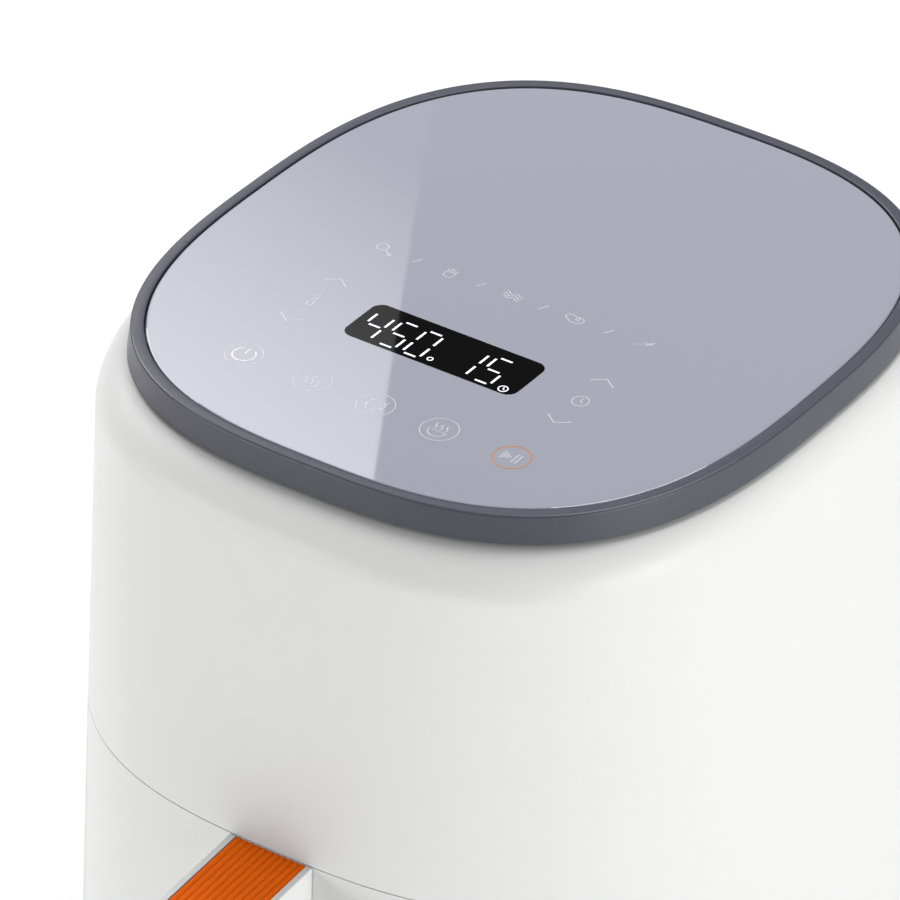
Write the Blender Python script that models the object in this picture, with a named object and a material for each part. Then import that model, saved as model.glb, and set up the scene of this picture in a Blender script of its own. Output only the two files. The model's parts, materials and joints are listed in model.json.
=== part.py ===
"""Countertop air fryer with a pull-out drawer: housing, touch top, air mover, heater, drawer, crisper.

Metres, +Z up, standing on z = 0. The drawer pulls out towards -Y. The body's centre is the
origin of the sizes below, and the empty "air_fryer" shifts the whole object along +Y by half
the handle's reach, so that its bounding box is centred on the world's Z axis.
"""

import math

import bmesh
import bpy

# Clearances
GAP = 0.0003  # between two pieces that touch
SEAM = 0.0006  # visible gap round the drawer front and round the glass
LOOSE_FIT = 0.0005  # round a pin that passes through sheet metal

# Body: a superellipse in plan, widest at the belly and tapering up to the shoulder
HEIGHT = 0.308
BELLY_HALF_WIDTH = 0.1385
BELLY_HALF_DEPTH = 0.1588
BELLY_Z = 0.065
TAPER_WIDTH = 0.0098  # each side, belly to shoulder
TAPER_DEPTH = 0.0101
TUCK = 0.0085  # each side, belly to base
BODY_POWER = 2.78
WALL = 0.0025
BASE_Z = 0.0065

# Top ring and glass
RING_INSET_WIDTH = 0.0185  # each side, inside the belly
RING_INSET_DEPTH = 0.0258
RING_HEIGHT = 0.0103
RING_FLARE = 0.0012
RING_LIP = 0.0043
RING_LEDGE = 0.0042  # how far the ledge runs in under the glass
RING_SKIRT = 0.0087
RING_WEB = 0.0020  # thickness of the ledge and of the skirt
SHADOW_GAP = 0.0015
SHOULDER_DROP = 0.0158
NECK_INSET = 0.0020
GLASS_THICKNESS = 0.0025
GLASS_SUNK = 0.0004
GLASS_CHAMFER = 0.0004

# Drawer opening in the front of the housing
OPENING_MARGIN = 0.0335  # each side, inside the belly
OPENING_BOTTOM = 0.0180
DRAWER_WALL = 0.0030
DRAWER_DEPTH = 0.0416  # belly to the back of the drawer front
COVER_THICKNESS = 0.0020
COVER_INSET = 0.0004

# Basket
BASKET_SIDE = 0.0040  # each side, inside the opening
BASKET_SETBACK = 0.0057  # behind the back of the drawer front
BASKET_TO_BELLY = 0.0623  # from its rear wall to the belly
BASKET_BOTTOM = 0.0185
BASKET_HEADROOM = 0.0278  # from its top to the top of the opening
BASKET_WALL = 0.0012
BASKET_FLANGE = 0.0022
BASKET_FILLET = 0.0060
BASKET_POWER = 8
BRACKET_HALF_WIDTH = 0.0300
BRACKET_LIFT = 0.0300  # above the basket's underside
BRACKET_DROP = 0.0150  # below its top

# Crisper plate
PLATE_RISE = 0.0155  # its underside above the basket's underside
PLATE_THICKNESS = 0.0012
PLATE_CLEARANCE = 0.0022
PLATE_HOLE_RADIUS = 0.0055
PLATE_HOLE_PITCH = 0.0320
PLATE_EDGE = 0.0250  # least distance from a hole's centre to the plate's edge
BUMPER_RADIUS = 0.0060
BUMPER_INSET = 0.0180
KNOB_RADIUS = 0.0110
KNOB_HEIGHT = 0.0120

# Handle
HANDLE_REACH = 0.047  # in front of the belly
HANDLE_HALF_WIDTH = 0.0174
HANDLE_THICKNESS = 0.0140
HANDLE_BEND = 0.0150
HANDLE_SLOPE = math.radians(4)
HANDLE_DROP = 0.0850
HANDLE_EDGE = 0.0016
HANDLE_ROOT = 0.0130  # extra length that the body's surface trims off
INLAY_MARGIN = 0.00255  # each side, inside the handle
INLAY_END = 0.0060  # above the handle's lower end
INLAY_DEPTH = 0.0018
SCREW_RADIUS = 0.0015
SCREW_HEAD_RADIUS = 0.0033
SCREW_HEAD_HEIGHT = 0.0022
SCREW_SPACING = 0.0180
SCREW_BITE = 0.0150  # length of a handle screw in the handle

# Cavity liner, front frame and rails
LINER_SIDE = 0.0025  # each side, outside the opening
LINER_SETBACK = 0.0092  # behind the back of the drawer front
LINER_TO_BASKET = 0.0085  # behind the basket's rear wall
LINER_WALL = 0.0010
LINER_OVERRUN = 0.0450  # the outline's half depth beyond its rear, so that its sides run straight
FRAME_DEPTH = 0.0030
FRAME_RISE = 0.0037  # above the top of the opening
FRAME_SIDE = 0.0013  # each side of the basket's flange
FRAME_UNDER = 0.0020  # under the basket
RAIL_HEIGHT = 0.0040
RAIL_SIDE = 0.0008  # between a rail and the basket
RAIL_SHIM = 0.0010  # between a rail and the liner's slightly bowed side
BASE_THICKNESS = 0.0025
BASE_SLOT = (0.0030, 0.0400, 0.0140)  # half width, half length and pitch
CUTTER_REACH = 0.3  # longer than anything it cuts
THROUGH = 0.01  # how far a cutter runs past a plate

# Heater, fans and motor, stacked upwards on one axis
DECK_THICKNESS = 0.0012
DOME_SIDE = 0.0005  # each side, outside the basket
DOME_SHORT = 0.0065  # each end, inside the basket
DOME_HEIGHT = 0.0385
DOME_CORNER = 0.0080  # height of the sloping edge round its top
DOME_SLOPE = 0.0060  # how far that edge leans in
ELEMENT_RADIUS = 0.0032
ELEMENT_TO_DOME = 0.0155  # from its centre line to the dome's nearest wall
ELEMENT_RISE = 0.0110
ELEMENT_STOP = 0.0060  # its ends, below the top of the dome
TERMINAL_RADIUS = 0.0040
PIN_RADIUS = 0.0020
PROBE_INSET = 0.0355  # from the dome's walls
CUTOUT_RADIUS = 0.0080
CUTOUT_X = 0.0200
GRILLE_THICKNESS = 0.0012
GRILLE_SLOTS = 5  # each side of the middle one
GRILLE_BAR = 0.00175  # half the width of a bar
SHIELD_THICKNESS = 0.0010
SHIELD_INSET = 0.0080
SHAFT_RADIUS = 0.0030
SHAFT_END = 0.0060  # beyond the fan and beyond the stator
SHAFT_CLEARANCE = 0.0020  # round the shaft where it passes the dome
FAN_TO_ELEMENT = 0.0160
FAN_DEPTH = 0.0140
FAN_HUB = 0.0080
FAN_PLATE = 0.0015
FAN_DISC = 0.86  # of the fan's radius
FAN_SPACE = 0.0035  # above and below each fan
COOLING_FAN_SMALLER = 0.0180  # in radius than the fan in the chamber
COOLING_FAN_DEPTH = 0.0080
COOLING_FAN_HUB = 0.0070
BLADE = 0.0012
NUT_RADIUS = 0.0062
NUT_HEIGHT = 0.0035
BRACKET_RISE = 0.0160  # above the heat shield
BRACKET_THICKNESS = 0.0015
MOTOR_BRACKET = (0.0730, 0.0540)  # half width and half depth
BRACKET_LEG = (0.0660, 0.0470)
BRACKET_LEG_RADIUS = 0.0035
STATOR_HEIGHT = 0.0230
MOTOR_HEADROOM = 0.0153  # from the stator to the electronics tray
STATOR_HALF_WIDTH = 0.0280
STATOR_FRONT = 0.0240  # in front of the shaft
STATOR_LEG = 0.0120  # depth of the leg that carries the coil
STATOR_LEG_Y = 0.0340  # behind the shaft
ROTOR_RADIUS = 0.0145
ROTOR_SHORT = 0.0012  # each end, inside the stator
AIR_GAP = 0.0008
COIL_MARGIN = 0.0045
COIL_HALF_WIDTH = 0.0155
COIL_CLEARANCE = 0.0015
BEARING_RADIUS = 0.0070
BEARING_HEIGHT = 0.0030
BRIDGE_HALF_DEPTH = 0.0100
BRIDGE_THICKNESS = 0.0015

# Electronics: sizes as half width and half depth, places from the centre of the body
DISPLAY_HALF = (0.0383, 0.0154)
DISPLAY_X = -0.0017
DISPLAY_SETBACK = 0.0844  # behind the ring's front edge
BOARD_THICKNESS = 0.0016
BOARD_DROP = 0.0010  # the touch board below the ring's bottom
POWER_BOARD = (0.0600, 0.0600)
POWER_BOARD_PLACE = (-0.0150, 0.0150)
RELAY = (0.0100, 0.0150, 0.0110)
RELAY_PLACE = (0.0220, 0.0450)
TRANSFORMER = (0.0150, 0.0175, 0.0105)
TRANSFORMER_PLACE = (-0.0400, 0.0375)
TRAY_DROP = 0.0180  # below the shoulder
TRAY_THICKNESS = 0.0020

# Rear of the housing
VENT_HALF_WIDTH = 0.0350
VENT_HEIGHT = 0.0450
VENT_DROP = 0.0730  # from the top of the object to the top of the vent
VENT_DEPTH = 0.0120
VENT_SUNK = 0.0008
VENT_SLOTS = 7
VENT_BAR = 0.0022
VENT_BORDER = 0.0040
GLAND_X = 0.0500
GLAND_Z = 0.0300
GLAND_RADIUS = 0.0060
GLAND_LIP = 0.0018
GLAND_INSIDE = 0.0100  # how far it reaches inside the wall

# Feet and screws under the base
FOOT_INSET_WIDTH = 0.0485  # from the belly
FOOT_INSET_DEPTH = 0.0538
FOOT_RADIUS = 0.0090
FOOT_EDGE = 0.0008
BOSS_SHARE = 0.378  # of the belly's half depth
BOSS_RADIUS = 0.0075
BOSS_STANDS = 0.75  # of its radius, from its centre to the wall
BOSS_HEIGHT = 0.0140

# Drawer switch
SWITCH_X = 0.0480
SWITCH_DROP = 0.0275  # below the basket's top
SWITCH_HALF = (0.0080, 0.0060)  # half width and half height
SWITCH_DEPTH = 0.0150
PLUNGER_RADIUS = 0.0020
PLUNGER_TIP = 0.0008
PLUNGER_BORE = 0.0004  # clearance round it in the switch

# Outlines that follow from the belly
RING_HALF_WIDTH = BELLY_HALF_WIDTH - RING_INSET_WIDTH
RING_HALF_DEPTH = BELLY_HALF_DEPTH - RING_INSET_DEPTH
OPENING_HALF_WIDTH = BELLY_HALF_WIDTH - OPENING_MARGIN
DRAWER_BACK = DRAWER_DEPTH - BELLY_HALF_DEPTH
BASKET_HALF_WIDTH = OPENING_HALF_WIDTH - BASKET_SIDE
BASKET_FRONT = DRAWER_BACK + BASKET_SETBACK
BASKET_REAR = BELLY_HALF_DEPTH - BASKET_TO_BELLY
BASKET_HALF_DEPTH = (BASKET_REAR - BASKET_FRONT) / 2
CAVITY_Y = (BASKET_REAR + BASKET_FRONT) / 2
LINER_HALF_WIDTH = OPENING_HALF_WIDTH + LINER_SIDE
LINER_FRONT = DRAWER_BACK + LINER_SETBACK
LINER_REAR = BASKET_REAR + LINER_TO_BASKET
DOME_HALF_WIDTH = BASKET_HALF_WIDTH + DOME_SIDE
DOME_HALF_DEPTH = BASKET_HALF_DEPTH - DOME_SHORT
ELEMENT_LOOP = min(DOME_HALF_WIDTH, DOME_HALF_DEPTH) - ELEMENT_TO_DOME
FAN_RADIUS = ELEMENT_LOOP - FAN_TO_ELEMENT
COOLING_FAN_RADIUS = FAN_RADIUS - COOLING_FAN_SMALLER
INLAY_HALF_WIDTH = HANDLE_HALF_WIDTH - INLAY_MARGIN
FOOT_X = BELLY_HALF_WIDTH - FOOT_INSET_WIDTH
FOOT_Y = BELLY_HALF_DEPTH - FOOT_INSET_DEPTH
BOSS_Y = BOSS_SHARE * BELLY_HALF_DEPTH

# Levels from the top down to the drawer: the heater and the motor fill what lies between
RING_BOTTOM = HEIGHT - RING_HEIGHT
NECK_Z = RING_BOTTOM - SHADOW_GAP
SHOULDER_Z = NECK_Z - SHOULDER_DROP
GLASS_BOTTOM = HEIGHT - GLASS_SUNK - GLASS_THICKNESS
TRAY_Z = SHOULDER_Z - TRAY_DROP
STATOR_TOP = TRAY_Z - MOTOR_HEADROOM
STATOR_Z = STATOR_TOP - STATOR_HEIGHT
BRACKET_TOP = STATOR_Z - GAP
BRACKET_Z = BRACKET_TOP - BRACKET_THICKNESS
SHIELD_TOP = BRACKET_Z - BRACKET_RISE
SHIELD_Z = SHIELD_TOP - SHIELD_THICKNESS
DOME_TOP = SHIELD_Z - GAP
DECK_TOP = DOME_TOP - DOME_HEIGHT
DECK_Z = DECK_TOP - DECK_THICKNESS
FRAME_TOP = DECK_Z - GAP
OPENING_TOP = FRAME_TOP - FRAME_RISE
DRAWER_TOP = OPENING_TOP - SEAM
VENT_TOP = HEIGHT - VENT_DROP
VENT_BOTTOM = VENT_TOP - VENT_HEIGHT

# Levels from the base up
BASE_TOP = BASE_Z + BASE_THICKNESS
BASKET_TOP = OPENING_TOP - BASKET_HEADROOM
PLATE_Z = BASKET_BOTTOM + PLATE_RISE
SWITCH_Z = BASKET_TOP - SWITCH_DROP

ROUND_BODY = 48  # points round a body outline
ROUND_PART = 16  # round a turned piece
EMPTIES = {}
MATERIALS = {}


def material(name, colour, roughness, metallic=0.0):
    """One Principled material, made once and then shared by name."""
    if name not in MATERIALS:
        made = bpy.data.materials.new(name)
        made.use_nodes = True
        shader = made.node_tree.nodes["Principled BSDF"]
        shader.inputs["Base Color"].default_value = (*colour, 1)
        shader.inputs["Roughness"].default_value = roughness
        shader.inputs["Metallic"].default_value = metallic
        made.diffuse_color = (*colour, 1)
        MATERIALS[name] = made
    return MATERIALS[name]


def white_plastic():
    return material("white_plastic", (0.80, 0.80, 0.80), 0.45)


def slate_plastic():
    return material("slate_plastic", (0.085, 0.09, 0.12), 0.4)


def glass():
    return material("slate_glass", (0.16, 0.17, 0.21), 0.06)


def orange_plastic():
    return material("orange_plastic", (0.85, 0.14, 0.01), 0.4)


def black_plastic():
    return material("black_plastic", (0.02, 0.02, 0.022), 0.4)


def coating():
    return material("nonstick_coating", (0.045, 0.045, 0.048), 0.35, 0.3)


def steel():
    return material("steel", (0.56, 0.56, 0.56), 0.3, 1.0)


def aluminised():
    return material("aluminised_steel", (0.66, 0.67, 0.68), 0.35, 1.0)


def copper():
    return material("copper_wire", (0.72, 0.32, 0.14), 0.35, 1.0)


def board():
    return material("circuit_board", (0.03, 0.17, 0.07), 0.5)


def rubber():
    return material("rubber", (0.03, 0.03, 0.03), 0.8)


def element_metal():
    return material("element_metal", (0.20, 0.19, 0.18), 0.45, 0.9)


def empty(name, place, parent=None):
    """An empty that other pieces are parented to, on the axis of the joint it stands for."""
    made = bpy.data.objects.new(name, None)
    made.location = place
    made.parent = EMPTIES.get(parent)
    bpy.context.scene.collection.objects.link(made)
    EMPTIES[name] = made


def add(name, mesh, look, parent="air_fryer"):
    """Turn a bmesh into an object, or into a hidden cutter when it has no material."""
    bmesh.ops.recalc_face_normals(mesh, faces=mesh.faces)
    data = bpy.data.meshes.new(name)
    mesh.to_mesh(data)
    mesh.free()
    data.shade_smooth()
    data.set_sharp_from_angle(angle=math.radians(32))
    made = bpy.data.objects.new(name, data)
    bpy.context.scene.collection.objects.link(made)
    made.parent = EMPTIES[parent]
    if look is None:
        made.hide_render = True
        made.display_type = "WIRE"
    else:
        data.materials.append(look)
    return made


def boolean(target, other, operation="DIFFERENCE"):
    modifier = target.modifiers.new(other.name, "BOOLEAN")
    modifier.object = other
    modifier.operation = operation
    modifier.solver = "EXACT"
    return target


def level(half_width, half_depth, z, power=BODY_POWER, y=0.0):
    return half_width, half_depth, z, power, y


def outline(half_width, half_depth, power, count):
    """Points of a superellipse at equal angles."""
    points = []
    for i in range(count):
        angle = 2 * math.pi * i / count
        across = abs(math.cos(angle)) / half_width
        along = abs(math.sin(angle)) / half_depth
        radius = (across**power + along**power) ** (-1 / power)
        points.append((radius * math.cos(angle), radius * math.sin(angle)))
    return points


def loft(name, levels, look, loop=False, count=ROUND_BODY, parent="air_fryer"):
    """Skin the levels in order: capped at both ends, or joined last to first as a ring."""
    mesh = bmesh.new()
    rings = []
    for half_width, half_depth, z, power, y in levels:
        points = outline(half_width, half_depth, power, count)
        rings.append([mesh.verts.new((a, b + y, z)) for a, b in points])
    pairs = list(zip(rings, rings[1:]))
    if loop:
        pairs.append((rings[-1], rings[0]))
    else:
        mesh.faces.new(rings[0])
        mesh.faces.new(rings[-1])
    for lower, upper in pairs:
        for i in range(count):
            j = (i + 1) % count
            mesh.faces.new((lower[i], lower[j], upper[j], upper[i]))
    return add(name, mesh, look, parent)


def turned(name, profile, look, place, tilt=0.0, loop=False, count=ROUND_PART, parent="air_fryer"):
    """A turned piece from (radius, height) pairs. A tilt of +90 degrees points it along -Y."""
    levels = [level(radius, radius, z, 2) for radius, z in profile]
    made = loft(name, levels, look, loop, count, parent)
    made.location = place
    made.rotation_euler.x = tilt
    return made


def bush(name, inner, outer, low, high, look, x=0.0, y=0.0, count=ROUND_PART, parent="air_fryer"):
    """A plain upright ring."""
    profile = [(outer, low), (outer, high), (inner, high), (inner, low)]
    return turned(name, profile, look, (x, y, 0), loop=True, count=count, parent=parent)


def boxes(name, corners, look=None, parent="air_fryer"):
    """One or more boxes in one mesh, each from its lowest and highest corner."""
    mesh = bmesh.new()
    for low, high in corners:
        for vert in bmesh.ops.create_cube(mesh, size=1)["verts"]:
            ends = zip(low, high, vert.co)
            vert.co = [(a + b) / 2 + share * (b - a) for a, b, share in ends]
    return add(name, mesh, look, parent)


def block(centre, half, low, high):
    """The two corners of a box from its centre and half sizes in plan and its two heights."""
    x, y = centre
    return (x - half[0], y - half[1], low), (x + half[0], y + half[1], high)


def prisms(name, centres, radius, low, high, sides=8, parent="air_fryer"):
    """Upright cutters for round holes."""
    mesh = bmesh.new()
    for x, y in centres:
        rings = []
        for z in (low, high):
            turn = [2 * math.pi * (i + 0.5) / sides for i in range(sides)]
            ring = [(x + radius * math.cos(a), y + radius * math.sin(a), z) for a in turn]
            rings.append([mesh.verts.new(point) for point in ring])
        mesh.faces.new(rings[0])
        mesh.faces.new(rings[1])
        for i in range(sides):
            j = (i + 1) % sides
            mesh.faces.new((rings[0][i], rings[0][j], rings[1][j], rings[1][i]))
    return add(name, mesh, None, parent)


def extruded_side(name, points, half_width, look, parent="air_fryer"):
    """A closed outline in the YZ plane, extruded across X."""
    mesh = bmesh.new()
    rings = []
    for x in (-half_width, half_width):
        rings.append([mesh.verts.new((x, y, z)) for y, z in points])
    mesh.faces.new(rings[0])
    mesh.faces.new(rings[1])
    count = len(points)
    for i in range(count):
        j = (i + 1) % count
        mesh.faces.new((rings[0][i], rings[0][j], rings[1][j], rings[1][i]))
    return add(name, mesh, look, parent)


# Body shape


def half_at(z):
    """Half width and half depth of the body's outer surface, from the base to the shoulder."""
    if z < BELLY_Z:
        inset = TUCK * ((BELLY_Z - z) / (BELLY_Z - BASE_Z)) ** 3
        return BELLY_HALF_WIDTH - inset, BELLY_HALF_DEPTH - inset
    share = (z - BELLY_Z) / (SHOULDER_Z - BELLY_Z)
    return BELLY_HALF_WIDTH - TAPER_WIDTH * share, BELLY_HALF_DEPTH - TAPER_DEPTH * share


def body_level(z, offset):
    half_width, half_depth = half_at(z)
    return level(half_width + offset, half_depth + offset, z)


def side_heights():
    lower = [BASE_Z + (BELLY_Z - BASE_Z) * i / 4 for i in range(4)]
    return lower + [BELLY_Z, SHOULDER_Z]


def shoulder_levels(offset, steps):
    """A quarter ellipse in section, from the shoulder in to the neck under the ring."""
    shoulder_width, shoulder_depth = half_at(SHOULDER_Z)
    neck_width = RING_HALF_WIDTH - NECK_INSET
    neck_depth = RING_HALF_DEPTH - NECK_INSET
    levels = []
    for i in range(1, steps + 1):
        turn = math.pi / 2 * i / steps
        out, up = math.cos(turn), math.sin(turn)
        z = SHOULDER_Z + SHOULDER_DROP * up + offset * up
        width = neck_width + (shoulder_width - neck_width) * out + offset
        depth = neck_depth + (shoulder_depth - neck_depth) * out + offset
        levels.append(level(width, depth, z))
    return levels


def body_solid(name, offset, look=None, parent="air_fryer"):
    """The body as a solid block from base to shoulder, grown or shrunk by the offset."""
    return loft(name, [body_level(z, offset) for z in side_heights()], look, parent=parent)


def surface_y(x, z, offset=0.0):
    """How far behind the body's centre its rear surface lies, at a given X and Z."""
    half_width, half_depth = half_at(z)
    share = (abs(x) / (half_width + offset)) ** BODY_POWER
    return (half_depth + offset) * (1 - share) ** (1 / BODY_POWER)


def inside_level(z, at, power=BODY_POWER):
    """An outline that fits inside the housing wall at height `at`, placed at height z."""
    half_width, half_depth = half_at(at)
    return level(half_width - WALL - GAP, half_depth - WALL - GAP, z, power)


# Housing


def boss_places():
    """The screw bosses stand against the housing's side walls."""
    half_width, half_depth = half_at(BASE_TOP)
    reach = (1 - (BOSS_Y / half_depth) ** BODY_POWER) ** (1 / BODY_POWER)
    x = half_width * reach - WALL - BOSS_STANDS * BOSS_RADIUS
    return [(sx * x, sy * BOSS_Y) for sx in (-1, 1) for sy in (-1, 1)]


def make_housing():
    outer = [body_level(z, 0) for z in side_heights()] + shoulder_levels(0, 6)
    neck = outer[-1]
    inner = [body_level(z, -WALL) for z in side_heights()] + shoulder_levels(-WALL, 3)
    rim = level(neck[0] - WALL, neck[1] - WALL, neck[2])
    housing = loft("outer_housing", outer + [rim] + inner[::-1], white_plastic(), loop=True)
    centres = boss_places()
    bosses = prisms("housing_bosses", centres, BOSS_RADIUS, BASE_TOP + GAP, BASE_TOP + BOSS_HEIGHT, 12)
    boolean(housing, bosses, "UNION")
    bores = prisms("boss_bores", centres, SCREW_RADIUS + GAP, 0, BASE_TOP + BOSS_HEIGHT - 0.002, 12)
    boolean(housing, bores)
    front = (-OPENING_HALF_WIDTH, -CUTTER_REACH, OPENING_BOTTOM)
    back = (OPENING_HALF_WIDTH, -BASKET_HALF_WIDTH / 2, OPENING_TOP)
    boolean(housing, boxes("drawer_opening", [(front, back)]))
    low = (-VENT_HALF_WIDTH, BASKET_REAR, VENT_BOTTOM)
    high = (VENT_HALF_WIDTH, CUTTER_REACH, VENT_TOP)
    boolean(housing, boxes("vent_opening", [(low, high)]))
    profile = [(GLAND_RADIUS + GAP, 0), (GLAND_RADIUS + GAP, 0.08)]
    hole = turned("gland_hole", profile, None, (GLAND_X, LINER_REAR, GLAND_Z), -math.pi / 2)
    return boolean(housing, hole)


def make_rear():
    z_low, z_high = VENT_BOTTOM + GAP, VENT_TOP - GAP
    half = VENT_HALF_WIDTH - GAP
    back = half_at(VENT_TOP)[1]
    low, high = (-half, back - VENT_DEPTH, z_low), (half, CUTTER_REACH, z_high)
    grille = boxes("rear_vent_grille", [(low, high)], white_plastic())
    boolean(grille, body_solid("vent_face", -VENT_SUNK), "INTERSECT")
    slots = []
    pitch = (z_high - z_low - VENT_BORDER) / VENT_SLOTS
    side = half - VENT_BORDER
    for i in range(VENT_SLOTS):
        z = z_low + VENT_BORDER + pitch * i
        slots.append(((-side, 0, z), (side, CUTTER_REACH, z + pitch - VENT_BAR)))
    boolean(grille, boxes("vent_slots", slots))
    inner = surface_y(GLAND_X, GLAND_Z, -WALL) - GLAND_INSIDE
    flange = surface_y(GLAND_X - 1.5 * GLAND_RADIUS, GLAND_Z) + GAP - inner
    profile = [(GLAND_RADIUS, 0), (GLAND_RADIUS, flange), (1.4 * GLAND_RADIUS, flange)]
    end = flange + GLAND_LIP
    profile += [(1.3 * GLAND_RADIUS, end), (0.6 * GLAND_RADIUS, end)]
    profile += [(0.6 * GLAND_RADIUS, 0)]
    place = (GLAND_X, inner, GLAND_Z)
    turned("cord_gland", profile, black_plastic(), place, -math.pi / 2, loop=True)


def make_base():
    plate_levels = [inside_level(z, BASE_Z) for z in (BASE_Z, BASE_TOP)]
    plate = loft("base_plate", plate_levels, white_plastic())
    slots = []
    slot_half, slot_reach, pitch = BASE_SLOT
    low, high = BASE_Z - THROUGH, BASE_TOP + THROUGH
    for i in range(-3, 4):
        x = i * pitch
        slots.append(((x - slot_half, -slot_reach, low), (x + slot_half, slot_reach, high)))
    boolean(plate, boxes("base_slots", slots))
    boolean(plate, prisms("base_holes", boss_places(), SCREW_RADIUS + GAP, low, high, 12))
    for i, (x, y) in enumerate(boss_places()):
        head = BASE_Z - GAP
        profile = [(SCREW_HEAD_RADIUS, head - SCREW_HEAD_HEIGHT), (SCREW_HEAD_RADIUS, head)]
        profile += [(SCREW_RADIUS, head), (SCREW_RADIUS, BASE_TOP + BOSS_HEIGHT - 0.004)]
        turned(f"base_screw_{i + 1}", profile, steel(), (x, y, 0), count=12)
    for i, (sx, sy) in enumerate([(-1, -1), (-1, 1), (1, -1), (1, 1)]):
        top = BASE_Z - GAP
        profile = [(FOOT_RADIUS - FOOT_EDGE, 0), (FOOT_RADIUS, FOOT_EDGE), (FOOT_RADIUS, top)]
        place = (sx * FOOT_X, sy * FOOT_Y, 0)
        turned(f"foot_{i + 1}", profile, rubber(), place)


# Control top


def ring_level(inset, z):
    return level(RING_HALF_WIDTH - inset, RING_HALF_DEPTH - inset, z)


def make_top():
    skirt_out = NECK_INSET + WALL + GAP
    skirt_in = skirt_out + RING_WEB
    ledge = RING_LIP + RING_LEDGE
    ledge_z = GLASS_BOTTOM - GAP
    ledge_low = ledge_z - RING_WEB
    section = [(-RING_FLARE, RING_BOTTOM), (0, HEIGHT - 0.0014), (0.0007, HEIGHT)]
    section += [(RING_LIP, HEIGHT), (RING_LIP, ledge_z), (ledge, ledge_z), (ledge, ledge_low)]
    section += [(skirt_in, ledge_low - RING_WEB), (skirt_in, RING_BOTTOM - RING_SKIRT)]
    section += [(skirt_out, RING_BOTTOM - RING_SKIRT), (skirt_out, RING_BOTTOM)]
    loft("top_ring", [ring_level(*point) for point in section], slate_plastic(), loop=True)
    edge = RING_LIP + SEAM
    top = HEIGHT - GLASS_SUNK
    panel = [(edge, GLASS_BOTTOM), (edge, top - GLASS_CHAMFER), (edge + GLASS_CHAMFER, top)]
    loft("glass_panel", [ring_level(*point) for point in panel], glass())
    board_top = RING_BOTTOM - BOARD_DROP
    carrier = [ring_level(skirt_in + GAP, z) for z in (board_top - BOARD_THICKNESS, board_top)]
    loft("touch_board", carrier, board())
    centre = (DISPLAY_X, DISPLAY_SETBACK - RING_HALF_DEPTH)
    module = block(centre, DISPLAY_HALF, board_top + GAP, GLASS_BOTTOM - GAP)
    boxes("display_module", [module], black_plastic())


def make_electronics():
    levels = [inside_level(z, TRAY_Z + TRAY_THICKNESS) for z in (TRAY_Z, TRAY_Z + TRAY_THICKNESS)]
    loft("electronics_tray", levels, black_plastic())
    low = TRAY_Z + TRAY_THICKNESS + GAP
    top = low + BOARD_THICKNESS
    boxes("power_board", [block(POWER_BOARD_PLACE, POWER_BOARD, low, top)], board())
    seat = top + GAP
    relay = block(RELAY_PLACE, RELAY, seat, seat + RELAY[2])
    boxes("relay", [relay], black_plastic())
    transformer = block(TRANSFORMER_PLACE, TRANSFORMER, seat, seat + TRANSFORMER[2])
    boxes("transformer", [transformer], steel())


# Heater and cavity


def dome_level(inset, z, power=6):
    return level(DOME_HALF_WIDTH - inset, DOME_HALF_DEPTH - inset, z, power, CAVITY_Y)


def terminal_places():
    """Both ends of the element's loop rise at the rear, a sixth of a turn apart."""
    turns = (math.radians(80), math.radians(100))
    return [(ELEMENT_LOOP * math.cos(a), CAVITY_Y + ELEMENT_LOOP * math.sin(a)) for a in turns]


PROBE_PLACE = (PROBE_INSET - DOME_HALF_WIDTH, CAVITY_Y + DOME_HALF_DEPTH - PROBE_INSET)


def make_dome():
    outer = inside_level(DECK_Z, DECK_TOP)
    hole = SHAFT_RADIUS + SHAFT_CLEARANCE
    skin = DECK_THICKNESS
    levels = [outer, inside_level(DECK_TOP, DECK_TOP)]
    corner = DOME_TOP - DOME_CORNER
    levels += [dome_level(0, DECK_TOP), dome_level(0, corner), dome_level(DOME_SLOPE, DOME_TOP)]
    levels += [level(hole, hole, DOME_TOP, 2, CAVITY_Y)]
    levels += [level(hole, hole, DOME_TOP - skin, 2, CAVITY_Y)]
    levels += [dome_level(DOME_SLOPE + skin / 2, DOME_TOP - skin)]
    levels += [dome_level(skin, corner - skin / 2)]
    levels += [dome_level(skin, DECK_Z)]
    dome = loft("heater_dome", levels, aluminised(), loop=True)
    low, high = DOME_TOP - THROUGH, DOME_TOP + THROUGH
    around = TERMINAL_RADIUS + LOOSE_FIT
    probe = PIN_RADIUS + LOOSE_FIT
    boolean(dome, prisms("dome_terminal_holes", terminal_places(), around, low, high))
    boolean(dome, prisms("dome_probe_hole", [PROBE_PLACE], probe, low, high))
    shield_levels = [dome_level(SHIELD_INSET, z) for z in (SHIELD_Z, SHIELD_TOP)]
    shield = loft("heat_shield", shield_levels, aluminised(), count=40)
    boolean(shield, prisms("shield_terminal_holes", terminal_places(), around, low, high))
    boolean(shield, prisms("shield_probe_hole", [PROBE_PLACE], probe, low, high))
    boolean(shield, prisms("shield_shaft_hole", [(0, CAVITY_Y)], hole, low, high, 16))


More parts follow.
